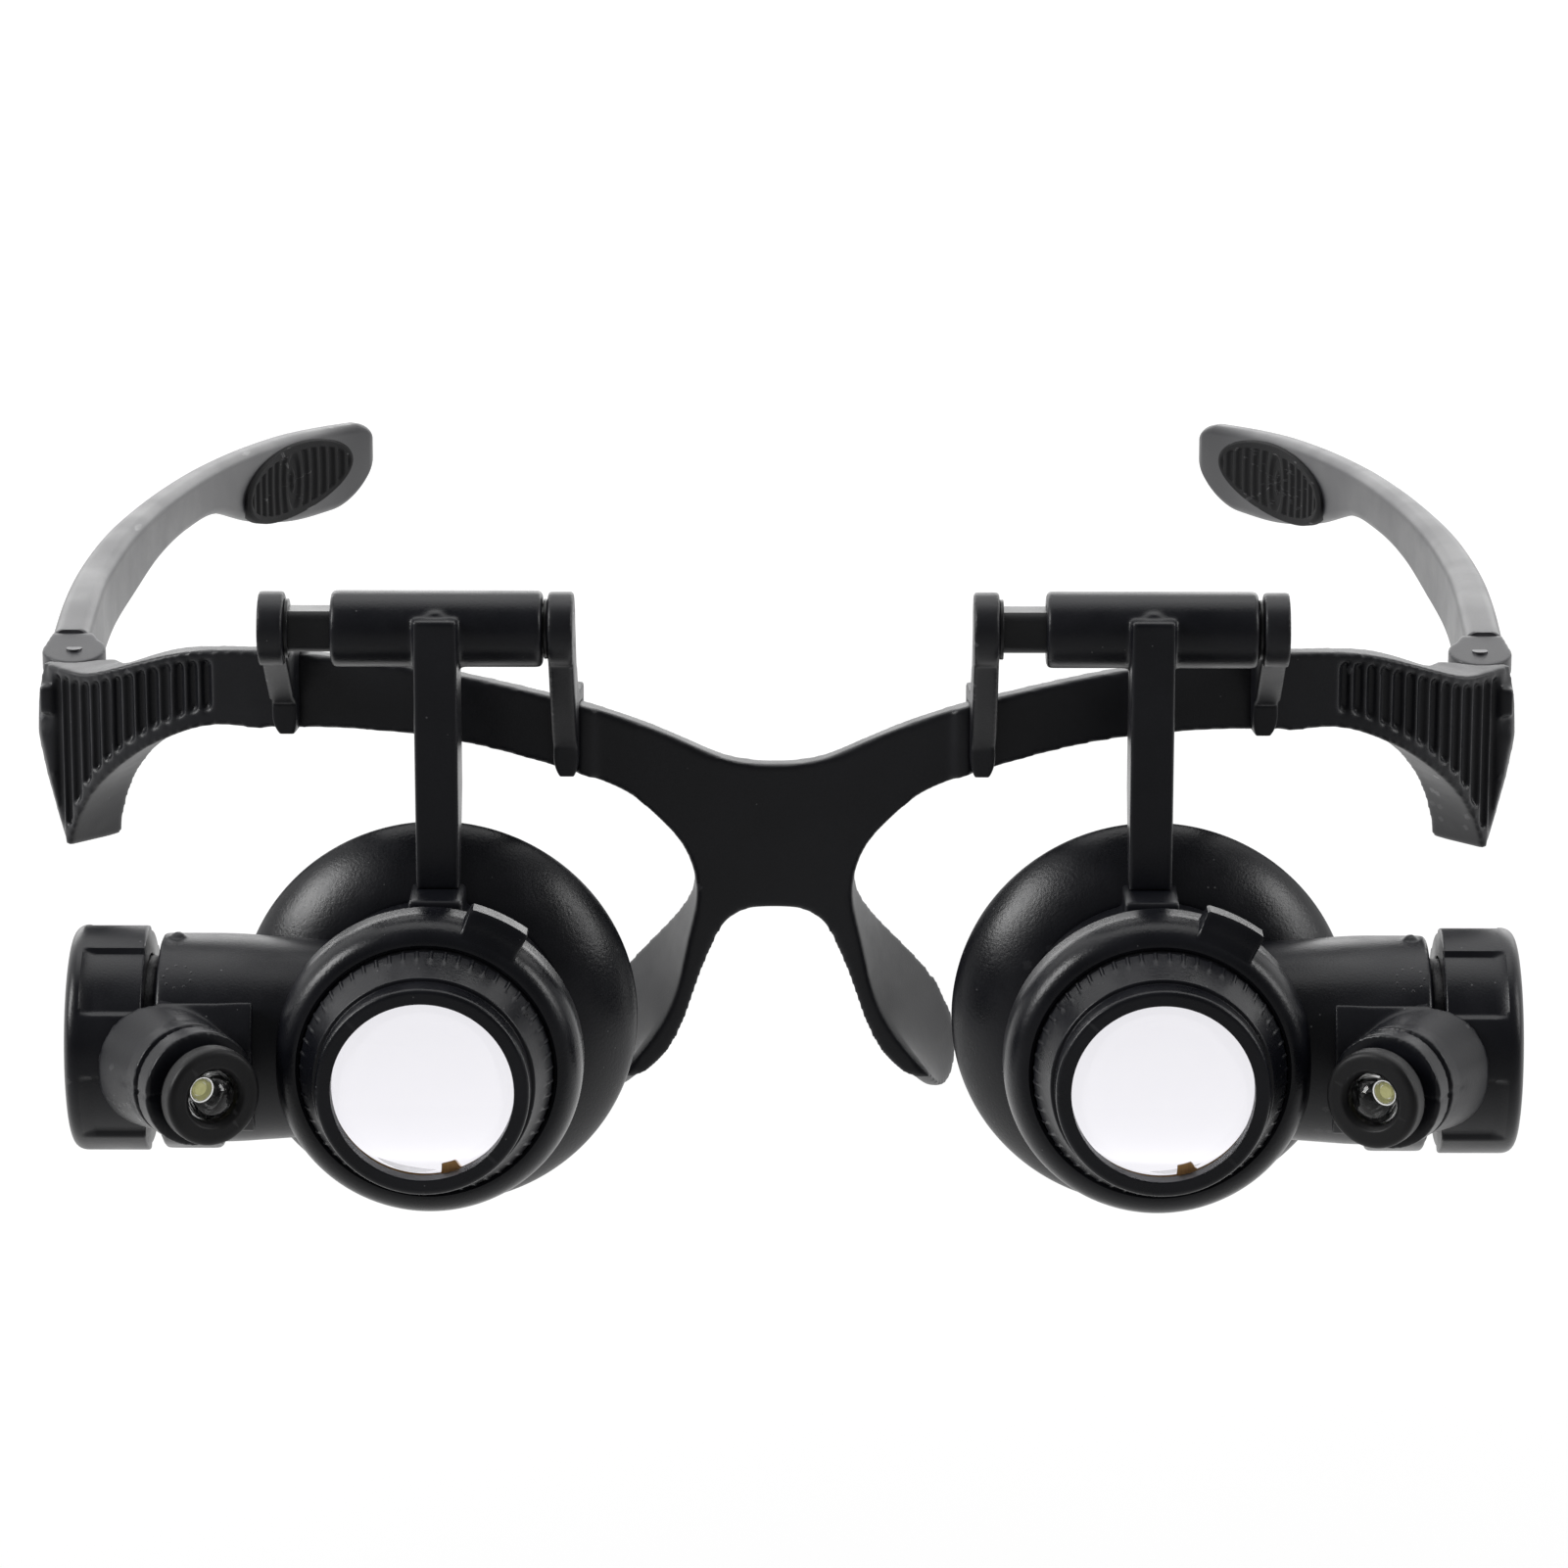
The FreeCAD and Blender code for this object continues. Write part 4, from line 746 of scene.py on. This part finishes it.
barrel = {"rear": -10.4, "front": -18.7, "radius": 13.2, "spigot": 12.2, "spigotFront": -24.2, "bore": 9.9,
          "inset": 11.6, "footHalf": 2.6, "footFront": -17.2, "footRise": 11.2, "grain": 0.255}
cup = {"base": 13.2, "rim": 19.6, "baseY": -10.4, "rimY": -5.0, "power": 1.35, "wall": 1.4, "bore": 9.4,
       "seat": 10.9, "seatDepth": 2.0, "lean": 0.55}


def cupRadius(y):
    # Outer radius of the eyecup at y, from a^p + (1 - b)^p = 1 with a across its flare and b along it
    b = unit((y - cup["baseY"]) / (cup["rimY"] - cup["baseY"]))
    return cup["base"] + (cup["rim"] - cup["base"]) * (1 - (1 - b) ** cup["power"]) ** (1 / cup["power"])


def tubeShell(side):
    # The tube starts on the barrel or inside the eyecup's wall: u = root of R(y) squared less dz squared
    t = tube
    inner = [(r, t["rootStart"]) for r in np.linspace(0, t["rootRadius"], 12)]
    outer = eased([(t["rootRadius"], t["rootStart"]), (t["radius"], t["rootEnd"], 2.0),
                   (t["radius"], t["end"], 0.35), (t["neckRadius"], t["end"], 0.2),
                   (t["neckRadius"], t["neckEnd"], 0.3), (t["boreRadius"], t["neckEnd"], 0.3),
                   (t["boreRadius"], t["boreStart"], 0.2), (0, t["boreStart"])], closed=False)
    profile = np.concatenate((np.array(inner), outer))

    def change(radius, along, angle):
        y = t["y"] - radius * np.cos(angle)
        dz = radius * np.sin(angle)
        reach = np.where(y < barrel["rear"], barrel["inset"], cupRadius(y) - cup["wall"] / 2)
        start = np.sqrt(np.maximum(reach ** 2 - dz ** 2, 0))
        first = along <= t["rootStart"] + 1e-6
        return radius, np.where(first, start, np.maximum(along, start))
    return lathe(profile, tubeFrame(side), 256, change)


def makeBody(side):
    b, t = barrel, tube
    centre = axisOf(side)
    ring = eased([(b["bore"], b["rear"], 0.1), (b["radius"], b["rear"], 0.3), (b["radius"], b["front"], 0.3),
                  (b["spigot"], b["front"], 0.2), (b["spigot"], b["spigotFront"], 0.2),
                  (b["bore"], b["spigotFront"], 0.2)])
    middle = middleOf(f"{side}_loupe_arm")[0]
    foot = boxShell((middle - b["footHalf"], b["footFront"], centre[2] + b["footRise"]),
                    (middle + b["footHalf"], b["rear"], arm["foot"]))
    top = t["radius"] + t["nubRise"]
    nub = lathe(np.array([(0, 0), (t["nubRadius"], 0), (t["nubRadius"], top), (0, top)], float),
                ((centre[0] + sides[side] * t["nubAt"], t["y"], centre[2]), (1, 0, 0), (0, 1, 0), (0, 0, 1)),
                32)
    mesh = meshOf("loupeBody", [lathe(ring, lensFrame(side), 256), tubeShell(side), foot, nub])
    dress(f"{side}_loupe_body", "skin", moulded(mesh, b["grain"], 3), sharpAngle=60)


# Eyecup, lock ring, lens tube, lens

def makeEyecup(side):
    # The flare's outer side is a superellipse, its inner side the same curve one wall further in
    c = cup
    t = np.linspace(0, tau / 4, 30)
    a = np.sin(t) ** (2 / c["power"])
    b = 1 - np.cos(t) ** (2 / c["power"])
    spread = c["rim"] - c["base"]
    rise = c["rimY"] - c["baseY"]
    outer = np.column_stack((c["base"] + spread * a, c["baseY"] + rise * b))
    tip = c["rim"] - c["wall"] / 2
    turn = np.linspace(0, tau / 2, 9)[1:-1]
    lip = np.column_stack((tip + c["wall"] / 2 * np.cos(turn), np.full(len(turn), c["rimY"])))
    inner = np.column_stack((outer[:, 0] - c["wall"], outer[:, 1] + c["lean"] * c["wall"] * (1 - b)))[::-1]
    base = np.array([(c["bore"], c["baseY"] + c["wall"]), (c["bore"], c["baseY"] - c["seatDepth"]),
                     (c["seat"], c["baseY"] - c["seatDepth"]), (c["seat"], c["baseY"])])
    profile = np.concatenate((outer, lip, inner, base))
    profile[:, 1] = np.minimum(profile[:, 1], c["rimY"])
    dress(f"{side}_eyecup", "turned", [lathe(profile, lensFrame(side), 256)])


lock = {"bore": 12.25, "radius": 14.9, "rear": -18.9, "front": -24.4, "crownWide": 2.35, "crownDeep": 3.4,
        "tabAngle": 64.0, "tabWidth": 5.3, "tabTop": 16.5, "tabFoot": 13.7, "tabEdge": 0.5,
        "footFade": 0.35, "rearFade": 0.25}


def makeLockRing(side):
    # The front edge is a quarter ellipse. A thumb tab stands out of it within half its width of its middle
    k = lock
    turn = np.linspace(0, tau / 4, 20)
    crown = np.column_stack((k["radius"] - k["crownWide"] * (1 - np.cos(turn)),
                             k["front"] + k["crownDeep"] * (1 - np.sin(turn))))
    rear = eased([(k["bore"], k["front"] + 0.2), (k["bore"], k["rear"], 0.1), (k["radius"], k["rear"], 0.25),
                  (k["radius"], k["front"] + k["crownDeep"] + 0.2)], closed=False)
    profile = np.concatenate((rear, crown))

    def change(radius, along, angle):
        turned = np.abs(angle - math.radians(k["tabAngle"])) * k["radius"]
        rise = smooth(unit((k["tabWidth"] / 2 + k["tabEdge"] - turned) / k["tabEdge"]))
        share = unit((radius - k["tabFoot"]) / k["footFade"])
        share = share * unit((k["front"] + k["crownDeep"] - along) / k["rearFade"])
        return radius + (k["tabTop"] - radius) * rise * share, along
    dress(f"{side}_lock_ring", "turned", [lathe(profile, lensFrame(side), 512, change)])


tubeLens = {"spigotRear": -12.6, "coneRear": -24.7, "coneFront": -28.7, "coneRearRadius": 12.1,
            "coneFrontRadius": 10.6, "front": -31.2, "bezel": 10.2, "aperture": 8.7, "seat": 9.05,
            "bore": 8.98, "outer": 9.95, "ribs": 56, "ribShare": 0.24, "ribEdge": 0.12,
            "ribHeight": 0.13, "ribLength": 1.9, "ribFade": 0.8}


def makeLensTube(side):
    # Ribs: near the cone's rear its radius rises over a small share of each pitch
    k = tubeLens
    low, high = boxOf(f"{side}_lens")
    front = low[1] + (high[1] - low[1] - lensShape["edge"]) / 2
    back = front + lensShape["edge"] + clip["rear"]
    bezel, bore, outer, rear = k["bezel"], k["bore"], k["outer"], k["spigotRear"]
    corners = [(k["aperture"], k["front"], 0.12), (bezel, k["front"], 0.5), (bezel, k["coneFront"], 0.1),
               (k["coneFrontRadius"], k["coneFront"], 0.25), (k["coneRearRadius"], k["coneRear"], 0.15),
               (outer, k["coneRear"], 0.1), (outer, rear, 0.2), (bore, rear, 0.2), (bore, back, 0.05),
               (k["seat"], back, 0.05), (k["seat"], front, 0.05), (k["aperture"], front, 0.05)]
    profile = eased(corners)
    ribs = np.linspace(k["coneFront"] + 0.3, k["coneRear"] - 0.2, 16)
    lean = (k["coneRearRadius"] - k["coneFrontRadius"]) / (k["coneRear"] - k["coneFront"])
    cone = np.column_stack((k["coneFrontRadius"] + (ribs - k["coneFront"]) * lean, ribs))
    at = np.argmax((profile[:, 1] > k["coneFront"] + 0.3) & (profile[:, 0] > k["bezel"] + 0.3))
    profile = np.concatenate((profile[:at], cone, profile[at:]))

    def change(radius, along, angle):
        wave = np.abs(((angle * k["ribs"] / tau) % 1) - 0.5) * 2
        rib = unit((k["ribShare"] - wave) / k["ribEdge"])
        onCone = (radius > k["bezel"] + 0.2) & (along < k["coneRear"] - 0.1)
        run = unit((along - k["coneRear"] + k["ribLength"]) / k["ribFade"])
        return radius + k["ribHeight"] * rib * onCone * run, along
    dress(f"{side}_lens_tube", "turned", [lathe(profile, lensFrame(side), k["ribs"] * 9, change)])


lensShape = {"radius": 9.03, "edge": 2.0, "curve": 32.0, "clear": 8.65, "gap": 0.02}


def makeLens(side):
    # Two spherical faces: the surface falls back from its crown by R - sqrt(R^2 - r^2)
    k = lensShape
    low, high = boxOf(f"{side}_lens")
    middle = (low[1] + high[1]) / 2
    crown = (high[1] - low[1]) / 2
    r = np.linspace(0, k["clear"], 40)
    fall = k["curve"] - np.sqrt(k["curve"] ** 2 - r ** 2)
    half = k["edge"] / 2
    front = np.column_stack((r, middle - crown + fall))
    rim = np.array([(k["radius"], middle - half + k["gap"]), (k["radius"], middle + half - k["gap"])])
    back = np.column_stack((r, middle + crown - fall))[::-1]
    dress(f"{side}_lens", "ground", [lathe(np.concatenate((front, rim, back)), lensFrame(side))],
          sharpAngle=20)


# Battery cap

cap = {"start": 27.4, "length": 8.0, "radius": 10.95, "mouthEdge": 0.3, "bore": 8.2, "wall": 1.8,
       "round": 2.4, "dome": 0.35, "recesses": 5, "recessAngle": 36.0, "phase": 48.2, "depth": 0.5,
       "margin": 2.0, "edge": 0.05, "shoulder": 3.2, "fade": 0.8}


def makeCap(side):
    # Five grip recesses: the radius drops where the angle is within half a recess of its middle
    k = cap
    end = k["start"] + k["length"]
    corners = [(0, end), (k["radius"] * 0.7, end - k["dome"], 3.0),
               (k["radius"], end - k["dome"] * 2, k["round"]), (k["radius"], k["start"], k["mouthEdge"]),
               (k["bore"], k["start"], 0.15), (k["bore"], end - k["wall"], 0.3), (0, end - k["wall"])]
    profile = eased(corners, closed=False, steps=9)
    fill = np.linspace(end - k["shoulder"], k["start"] + k["mouthEdge"] + 0.3, 28)
    outer = np.column_stack((np.full(28, k["radius"]), fill))
    at = np.argmax((profile[:, 1] < end - k["shoulder"]) & (profile[:, 0] > k["radius"] - 0.01))
    face = np.column_stack((np.linspace(0, k["radius"] * 0.4, 10), np.full(10, end)))
    profile = np.concatenate((face, profile[1:at], outer, profile[at:]))

    def change(radius, along, angle):
        turn = (angle - math.radians(k["phase"])) * k["recesses"] / tau
        wave = np.abs((turn + 0.5) % 1 - 0.5) * 2 * math.pi / k["recesses"]
        inside = smooth(unit((math.radians(k["recessAngle"] / 2) + k["edge"] - wave) / k["edge"]))
        run = unit((end - k["margin"] - along) / k["fade"])
        outside = unit(radius - k["bore"] - 0.5)
        return radius - k["depth"] * inside * run * outside, along
    dress(f"{side}_battery_cap", "turned", [lathe(profile, tubeFrame(side), 320, change)])


# Lamp: holder, clear lamp and what shows inside it

lamp = {"yaw": 30.0, "u": 22.35, "out": 14.6, "ball": 3.9, "neck": 3.0, "ring": 4.75, "ringStart": 3.8,
        "ringEnd": 6.0, "dish": 3.0, "dishDepth": 0.5, "bulb": 2.5, "base": -1.6, "tip": 6.7, "flange": 2.9,
        "flangeHeight": 0.9}


def lampFrame(side):
    # Turned round the lamp's axis, distances forwards
    yaw = math.radians(lamp["yaw"])
    k = sides[side]
    centre = axisOf(side)
    pivot = (centre[0] + k * lamp["u"], tube["y"] - lamp["out"], centre[2])
    ahead = (-k * math.sin(yaw), -math.cos(yaw), 0)
    across = (math.cos(yaw), -k * math.sin(yaw), 0)
    return pivot, across, (0, 0, 1), ahead


def makeHolder(side):
    k = lamp
    t = np.linspace(tau / 4, 0.10, 16)
    bore = k["bulb"] + 0.03
    knob = np.column_stack((k["ball"] * np.cos(t), -k["ball"] * np.sin(t)))
    knob = np.concatenate((knob, [(k["ball"], 0.0), (k["ball"] * 0.92, 1.5)]))
    rest = eased([(k["neck"], 2.6, 0.3), (k["neck"], k["ringStart"], 0.3), (k["ring"], k["ringStart"], 0.5),
                  (k["ring"], k["ringEnd"], 0.8), (k["dish"], k["ringEnd"], 0.15),
                  (bore, k["ringEnd"] - k["dishDepth"], 0.2), (bore, k["base"] + k["flangeHeight"], 0.0),
                  (k["flange"], k["base"] + k["flangeHeight"], 0.0), (k["flange"], k["base"], 0.0),
                  (0, k["base"], 0.0)], closed=False)
    dress(f"{side}_lamp_holder", "turned", [lathe(np.concatenate((knob, rest)), lampFrame(side))])


def makeBulb(side):
    # A straight wall, then a half ball: r = R cos t, d = straight + R sin t
    k = lamp
    straight = k["tip"] - k["bulb"]
    t = np.linspace(0, tau / 4, 24)
    dome = np.column_stack((k["bulb"] * np.cos(t), straight + k["bulb"] * np.sin(t)))
    foot = np.array([(0, k["base"]), (k["flange"] - 0.1, k["base"]), (k["flange"] - 0.1, k["base"] + 0.8),
                     (k["bulb"], k["base"] + 0.8)])
    dress(f"{side}_led", "bulb", [lathe(np.concatenate((foot, dome)), lampFrame(side), 96)])


chip = {"cupRadius": 0.62, "cupDepth": 0.3, "floor": 0.45, "depth": 3.6, "radius": 0.36, "rise": 0.22,
        "stem": 0.3, "rim": 0.1, "under": 0.4, "taper": 0.8, "foot": 0.9, "gap": 0.02}


def makeChip(side):
    # A bright dish on its stem, with a pressed yellow chip in it, both seen through the clear dome
    k = chip
    floor = lamp["tip"] - k["depth"]
    outer = k["cupRadius"] + k["rim"]
    foot = lamp["base"] + k["foot"]
    dish = eased([(0, floor), (k["floor"], floor, 0.1), (k["cupRadius"], floor + k["cupDepth"], 0.05),
                  (outer, floor + k["cupDepth"], 0.05), (outer, floor - k["under"], 0.1),
                  (k["stem"], floor - k["taper"], 0.2), (k["stem"], foot), (0, foot)], closed=False)
    seat = floor + k["gap"]
    top = seat + k["rise"]
    grain = eased([(0, top), (k["radius"], top, 0.08), (k["radius"], seat, 0.05), (0, seat)], closed=False)
    # The chip's finish carries a painted glow
    for name, profile, around, finish in (("dish", dish, 64, "silver"), ("chip", grain, 48, "phosphorPaintedGlow")):
        addPiece(f"{side}_led_{name}", meshOf(name, [lathe(profile, lampFrame(side), around)]),
                 f"{side}_lamp", "lamp_resin", finish=finish)


clip = {"inner": 8.74, "outer": 9.04, "rear": 1.0, "earAngle": -74.0, "earWide": 0.72, "earDeep": 0.85,
        "earEdge": 0.2, "gap": 0.02}


def makeRetainingRing(side):
    # A thin round clip: its bore steps in at the ear, within half the ear's width of its middle
    k = clip
    start = axisOf(side)[1] + (lensShape["edge"] / 2 + k["gap"])
    corners = [(k["inner"], start, 0.05), (k["outer"], start, 0.05), (k["outer"], start + k["rear"], 0.05),
               (k["inner"], start + k["rear"], 0.05)]

    def change(radius, along, angle):
        turned = np.abs((angle - math.radians(k["earAngle"]) + math.pi) % tau - math.pi) * k["inner"]
        ear = unit((k["earWide"] + k["earEdge"] - turned) / k["earEdge"])
        inside = unit((k["outer"] - radius) / (k["outer"] - k["inner"]))
        return radius - k["earDeep"] * ear * inside, along
    dress(f"{side}_retaining_ring", "bent", [lathe(eased(corners), lensFrame(side), 480, change)],
          finish="spring")


# Temple arms

temple = {"length": 113.0, "wall": 3.9, "corner": 1.25, "cornerShare": 0.8, "topRound": 2.6, "lowRound": 6.4,
          "endRound": 1.3, "seamShare": 0.9, "leastShare": 0.05, "around": 48, "start": 0.004,
          "seam": 0.2, "stations": 150, "tipFrom": 0.93, "tipShare": 0.07, "tipStations": 60,
          "shares": ((0.997, 0.0, 1.0, 0.925, 0.586), (1.0, 0.101, 1.0, 0.962, 0.636),
                     (1.0, 0.234, 0.95, 0.975, 0.665), (0.9875, 0.34, 0.90, 0.995, 0.695),
                     (0.965, 0.455, 0.82, 1.0, 0.749), (0.936, 0.57, 0.77, 0.992, 0.766),
                     (0.9026, 0.677, 0.74, 0.975, 0.736), (0.851, 0.792, 0.74, 0.954, 0.577),
                     (0.801, 0.88, 0.77, 0.929, 0.498), (0.7455, 0.951, 0.74, 0.90, 0.485),
                     (0.6885, 1.0, 0.66, 0.882, 0.50))}       # x, along, wall, top and bottom


def throughPoints(knots, values, at):
    # Smooth curve through points: each stretch is a cubic whose end slopes are those of its neighbours
    slope = np.gradient(values, knots)
    i = np.clip(np.searchsorted(knots, at, side="right") - 1, 0, len(knots) - 2)
    step = knots[i + 1] - knots[i]
    t = (at - knots[i]) / step
    return (values[i] * (1 + 2 * t) * (1 - t) ** 2 + slope[i] * step * t * (1 - t) ** 2
            + values[i + 1] * t * t * (3 - 2 * t) + slope[i + 1] * step * t * t * (t - 1))


def makeTemple(side):
    # A rounded rectangle carried along the arm's path. Near the tip the top, the bottom and the wall
    # each draw in as a quarter ellipse, and a pole closes the end
    k = temple
    outward = sides[side]
    low, high = boxOf(f"{side}_temple_arm")
    widest = max(abs(low[0]), abs(high[0])) - k["wall"] / 2
    crest = high[2]
    table = np.array(k["shares"])
    tip = np.sin(np.linspace(0, tau / 4, k["tipStations"]))[1:]
    u = np.concatenate(([0, k["seam"] / k["length"]], np.linspace(k["start"], k["tipFrom"], k["stations"]),
                        k["tipFrom"] + k["tipShare"] * tip))
    x, wall, top, bottom = (throughPoints(table[:, 1], table[:, column], u) for column in (0, 2, 3, 4))
    x = x * widest
    y = low[1] + u * k["length"]
    wall = wall * k["wall"] / 2
    left = (1 - u) * k["length"]

    def drawIn(reach):
        return np.sqrt(unit(1 - unit(1 - left / reach) ** 2))
    top = top * crest - k["topRound"] * (1 - drawIn(k["topRound"]))
    bottom = bottom * crest + k["lowRound"] * (1 - drawIn(k["lowRound"]))
    shrink = drawIn(k["endRound"])
    shrink[0] = k["seamShare"]
    wall = wall * np.maximum(shrink, k["leastShare"])
    slope = np.gradient(x, y)
    long = np.hypot(1, slope)
    corner = np.minimum(k["corner"], wall * k["cornerShare"])[:, None]
    turn = np.linspace(0, tau, k["around"], endpoint=False)[None, :]
    half = (top - bottom)[:, None] / 2
    across = np.sign(np.cos(turn)) * (wall[:, None] - corner) + corner * np.cos(turn)
    upward = (top + bottom)[:, None] / 2 + np.sign(np.sin(turn)) * (half - corner) + corner * np.sin(turn)
    grid = np.stack((outward * (x[:, None] + across / long[:, None]),
                     y[:, None] - across * slope[:, None] / long[:, None], upward), -1)
    ends = [np.broadcast_to(grid[row].mean(0), grid[row].shape)[None] for row in (0, -1)]
    dress(f"{side}_temple_arm", "moulded", [(np.concatenate((ends[0], grid, ends[1])), False, True)],
          sharpAngle=50)


# Ear pads

pad = {"halfLength": 13.6, "halfHeight": 4.3, "border": 0.9, "pitch": 1.95, "squeeze": 0.45, "ridge": 0.28,
       "wave": 0.85, "edge": 0.33, "edgeFrom": 0.94, "edgeShare": 0.06, "ridgeFade": 0.04, "skirt": 0.3,
       "thick": 1.15, "around": 288, "rings": 104}


def makeEarPad(side):
    # Oval rubber inlay on a bend x(y). Ridges run along lines of equal q = root of X^2 + (squeeze Z)^2,
    # inside a plain border, and the height falls away round the rim
    k = pad
    nodeName = f"{side}_ear_pad"
    low, high = boxOf(nodeName)
    middle = (low + high) / 2
    half = (high - low) / 2
    outward = sides[side]
    points = pointsOf(nodeMesh(nodeName))
    y, x = points[:, 1] - middle[1], outward * points[:, 0]
    bend = np.polyfit(y, x, 2)
    inner = x - np.polyval(bend, y) < -0.3
    bend = np.polyfit(y[inner], x[inner], 2)
    turn = np.linspace(0, tau, k["around"], endpoint=False)[None, :]
    share = np.concatenate((np.linspace(0, 0.98, k["rings"]), (0.99, 1.0)))[:, None]
    along = k["halfLength"] * share * np.cos(turn)
    up = k["halfHeight"] * share * np.sin(turn)
    within = np.hypot(along / (k["halfLength"] - k["border"]), up / (k["halfHeight"] - k["border"]))
    q = np.hypot(along, k["squeeze"] * up)
    wave = unit(0.5 - k["wave"] * np.cos(q * tau / k["pitch"]))
    ridged = unit((1 - within) / k["ridgeFade"])
    height = -k["ridge"] * ridged * wave - k["edge"] * unit((share - k["edgeFrom"]) / k["edgeShare"]) ** 2
    rim = np.stack([height[-1:] * 0 - depth for depth in (k["edge"] + k["skirt"], k["thick"])], 0)[:, 0]
    height = np.concatenate((height, rim, rim[-1:]))
    scale = np.concatenate((share, [[1.0], [1.0], [0.0]]))
    yy = half[1] * scale * np.cos(turn)
    zz = middle[2] + half[2] * scale * np.sin(turn)
    slope = np.polyval(np.polyder(bend), yy)
    long = np.sqrt(1 + slope ** 2)
    xx = np.polyval(bend, yy) - height / long
    yy = yy + height * slope / long
    grid = np.stack((outward * xx, yy + middle[1], zz), -1)
    dress(nodeName, "moulded", [(grid, False, True)], sharpAngle=45)


marks = {"u": 24.1, "angle": 52.0, "ring": 1.35, "dot": 0.16, "rise": 0.04, "sink": 0.2, "count": 9}


def makeMarks(side):
    # Small round pips in a ring on the tube: each is a shallow dome square to the tube's surface
    k = marks
    origin, first, second, axis = (np.array(v, float) for v in tubeFrame(side))
    patches = []
    t = np.linspace(0, tau / 4, 6)
    dome = np.column_stack((k["dot"] * np.cos(t), k["rise"] * np.sin(t)))
    dome = np.concatenate(([(0, -k["sink"])], dome))
    for step in range(k["count"]):
        turn = tau * step / k["count"]
        angle = math.radians(k["angle"]) + k["ring"] * math.sin(turn) / tube["radius"]
        out = first * math.cos(angle) + second * math.sin(angle)
        place = origin + out * tube["radius"] + axis * (k["u"] + k["ring"] * math.cos(turn))
        patches.append(lathe(dome, (place, axis, np.cross(out, axis), out), 10))
    addPiece(f"{side}_mould_marks", meshOf("mouldMarks", patches), f"{side}_loupe", "loupe_plastic")


for side in sides:
    for make in (makeLugs, makeHinge, makeBracket, makeRod, makeArm, makeBody, makeEyecup, makeLockRing,
                 makeLensTube, makeLens, makeRetainingRing, makeCap, makeHolder, makeBulb, makeChip,
                 makeTemple, makeEarPad, makeMarks):
        make(side)
print("loupes and lamps made")
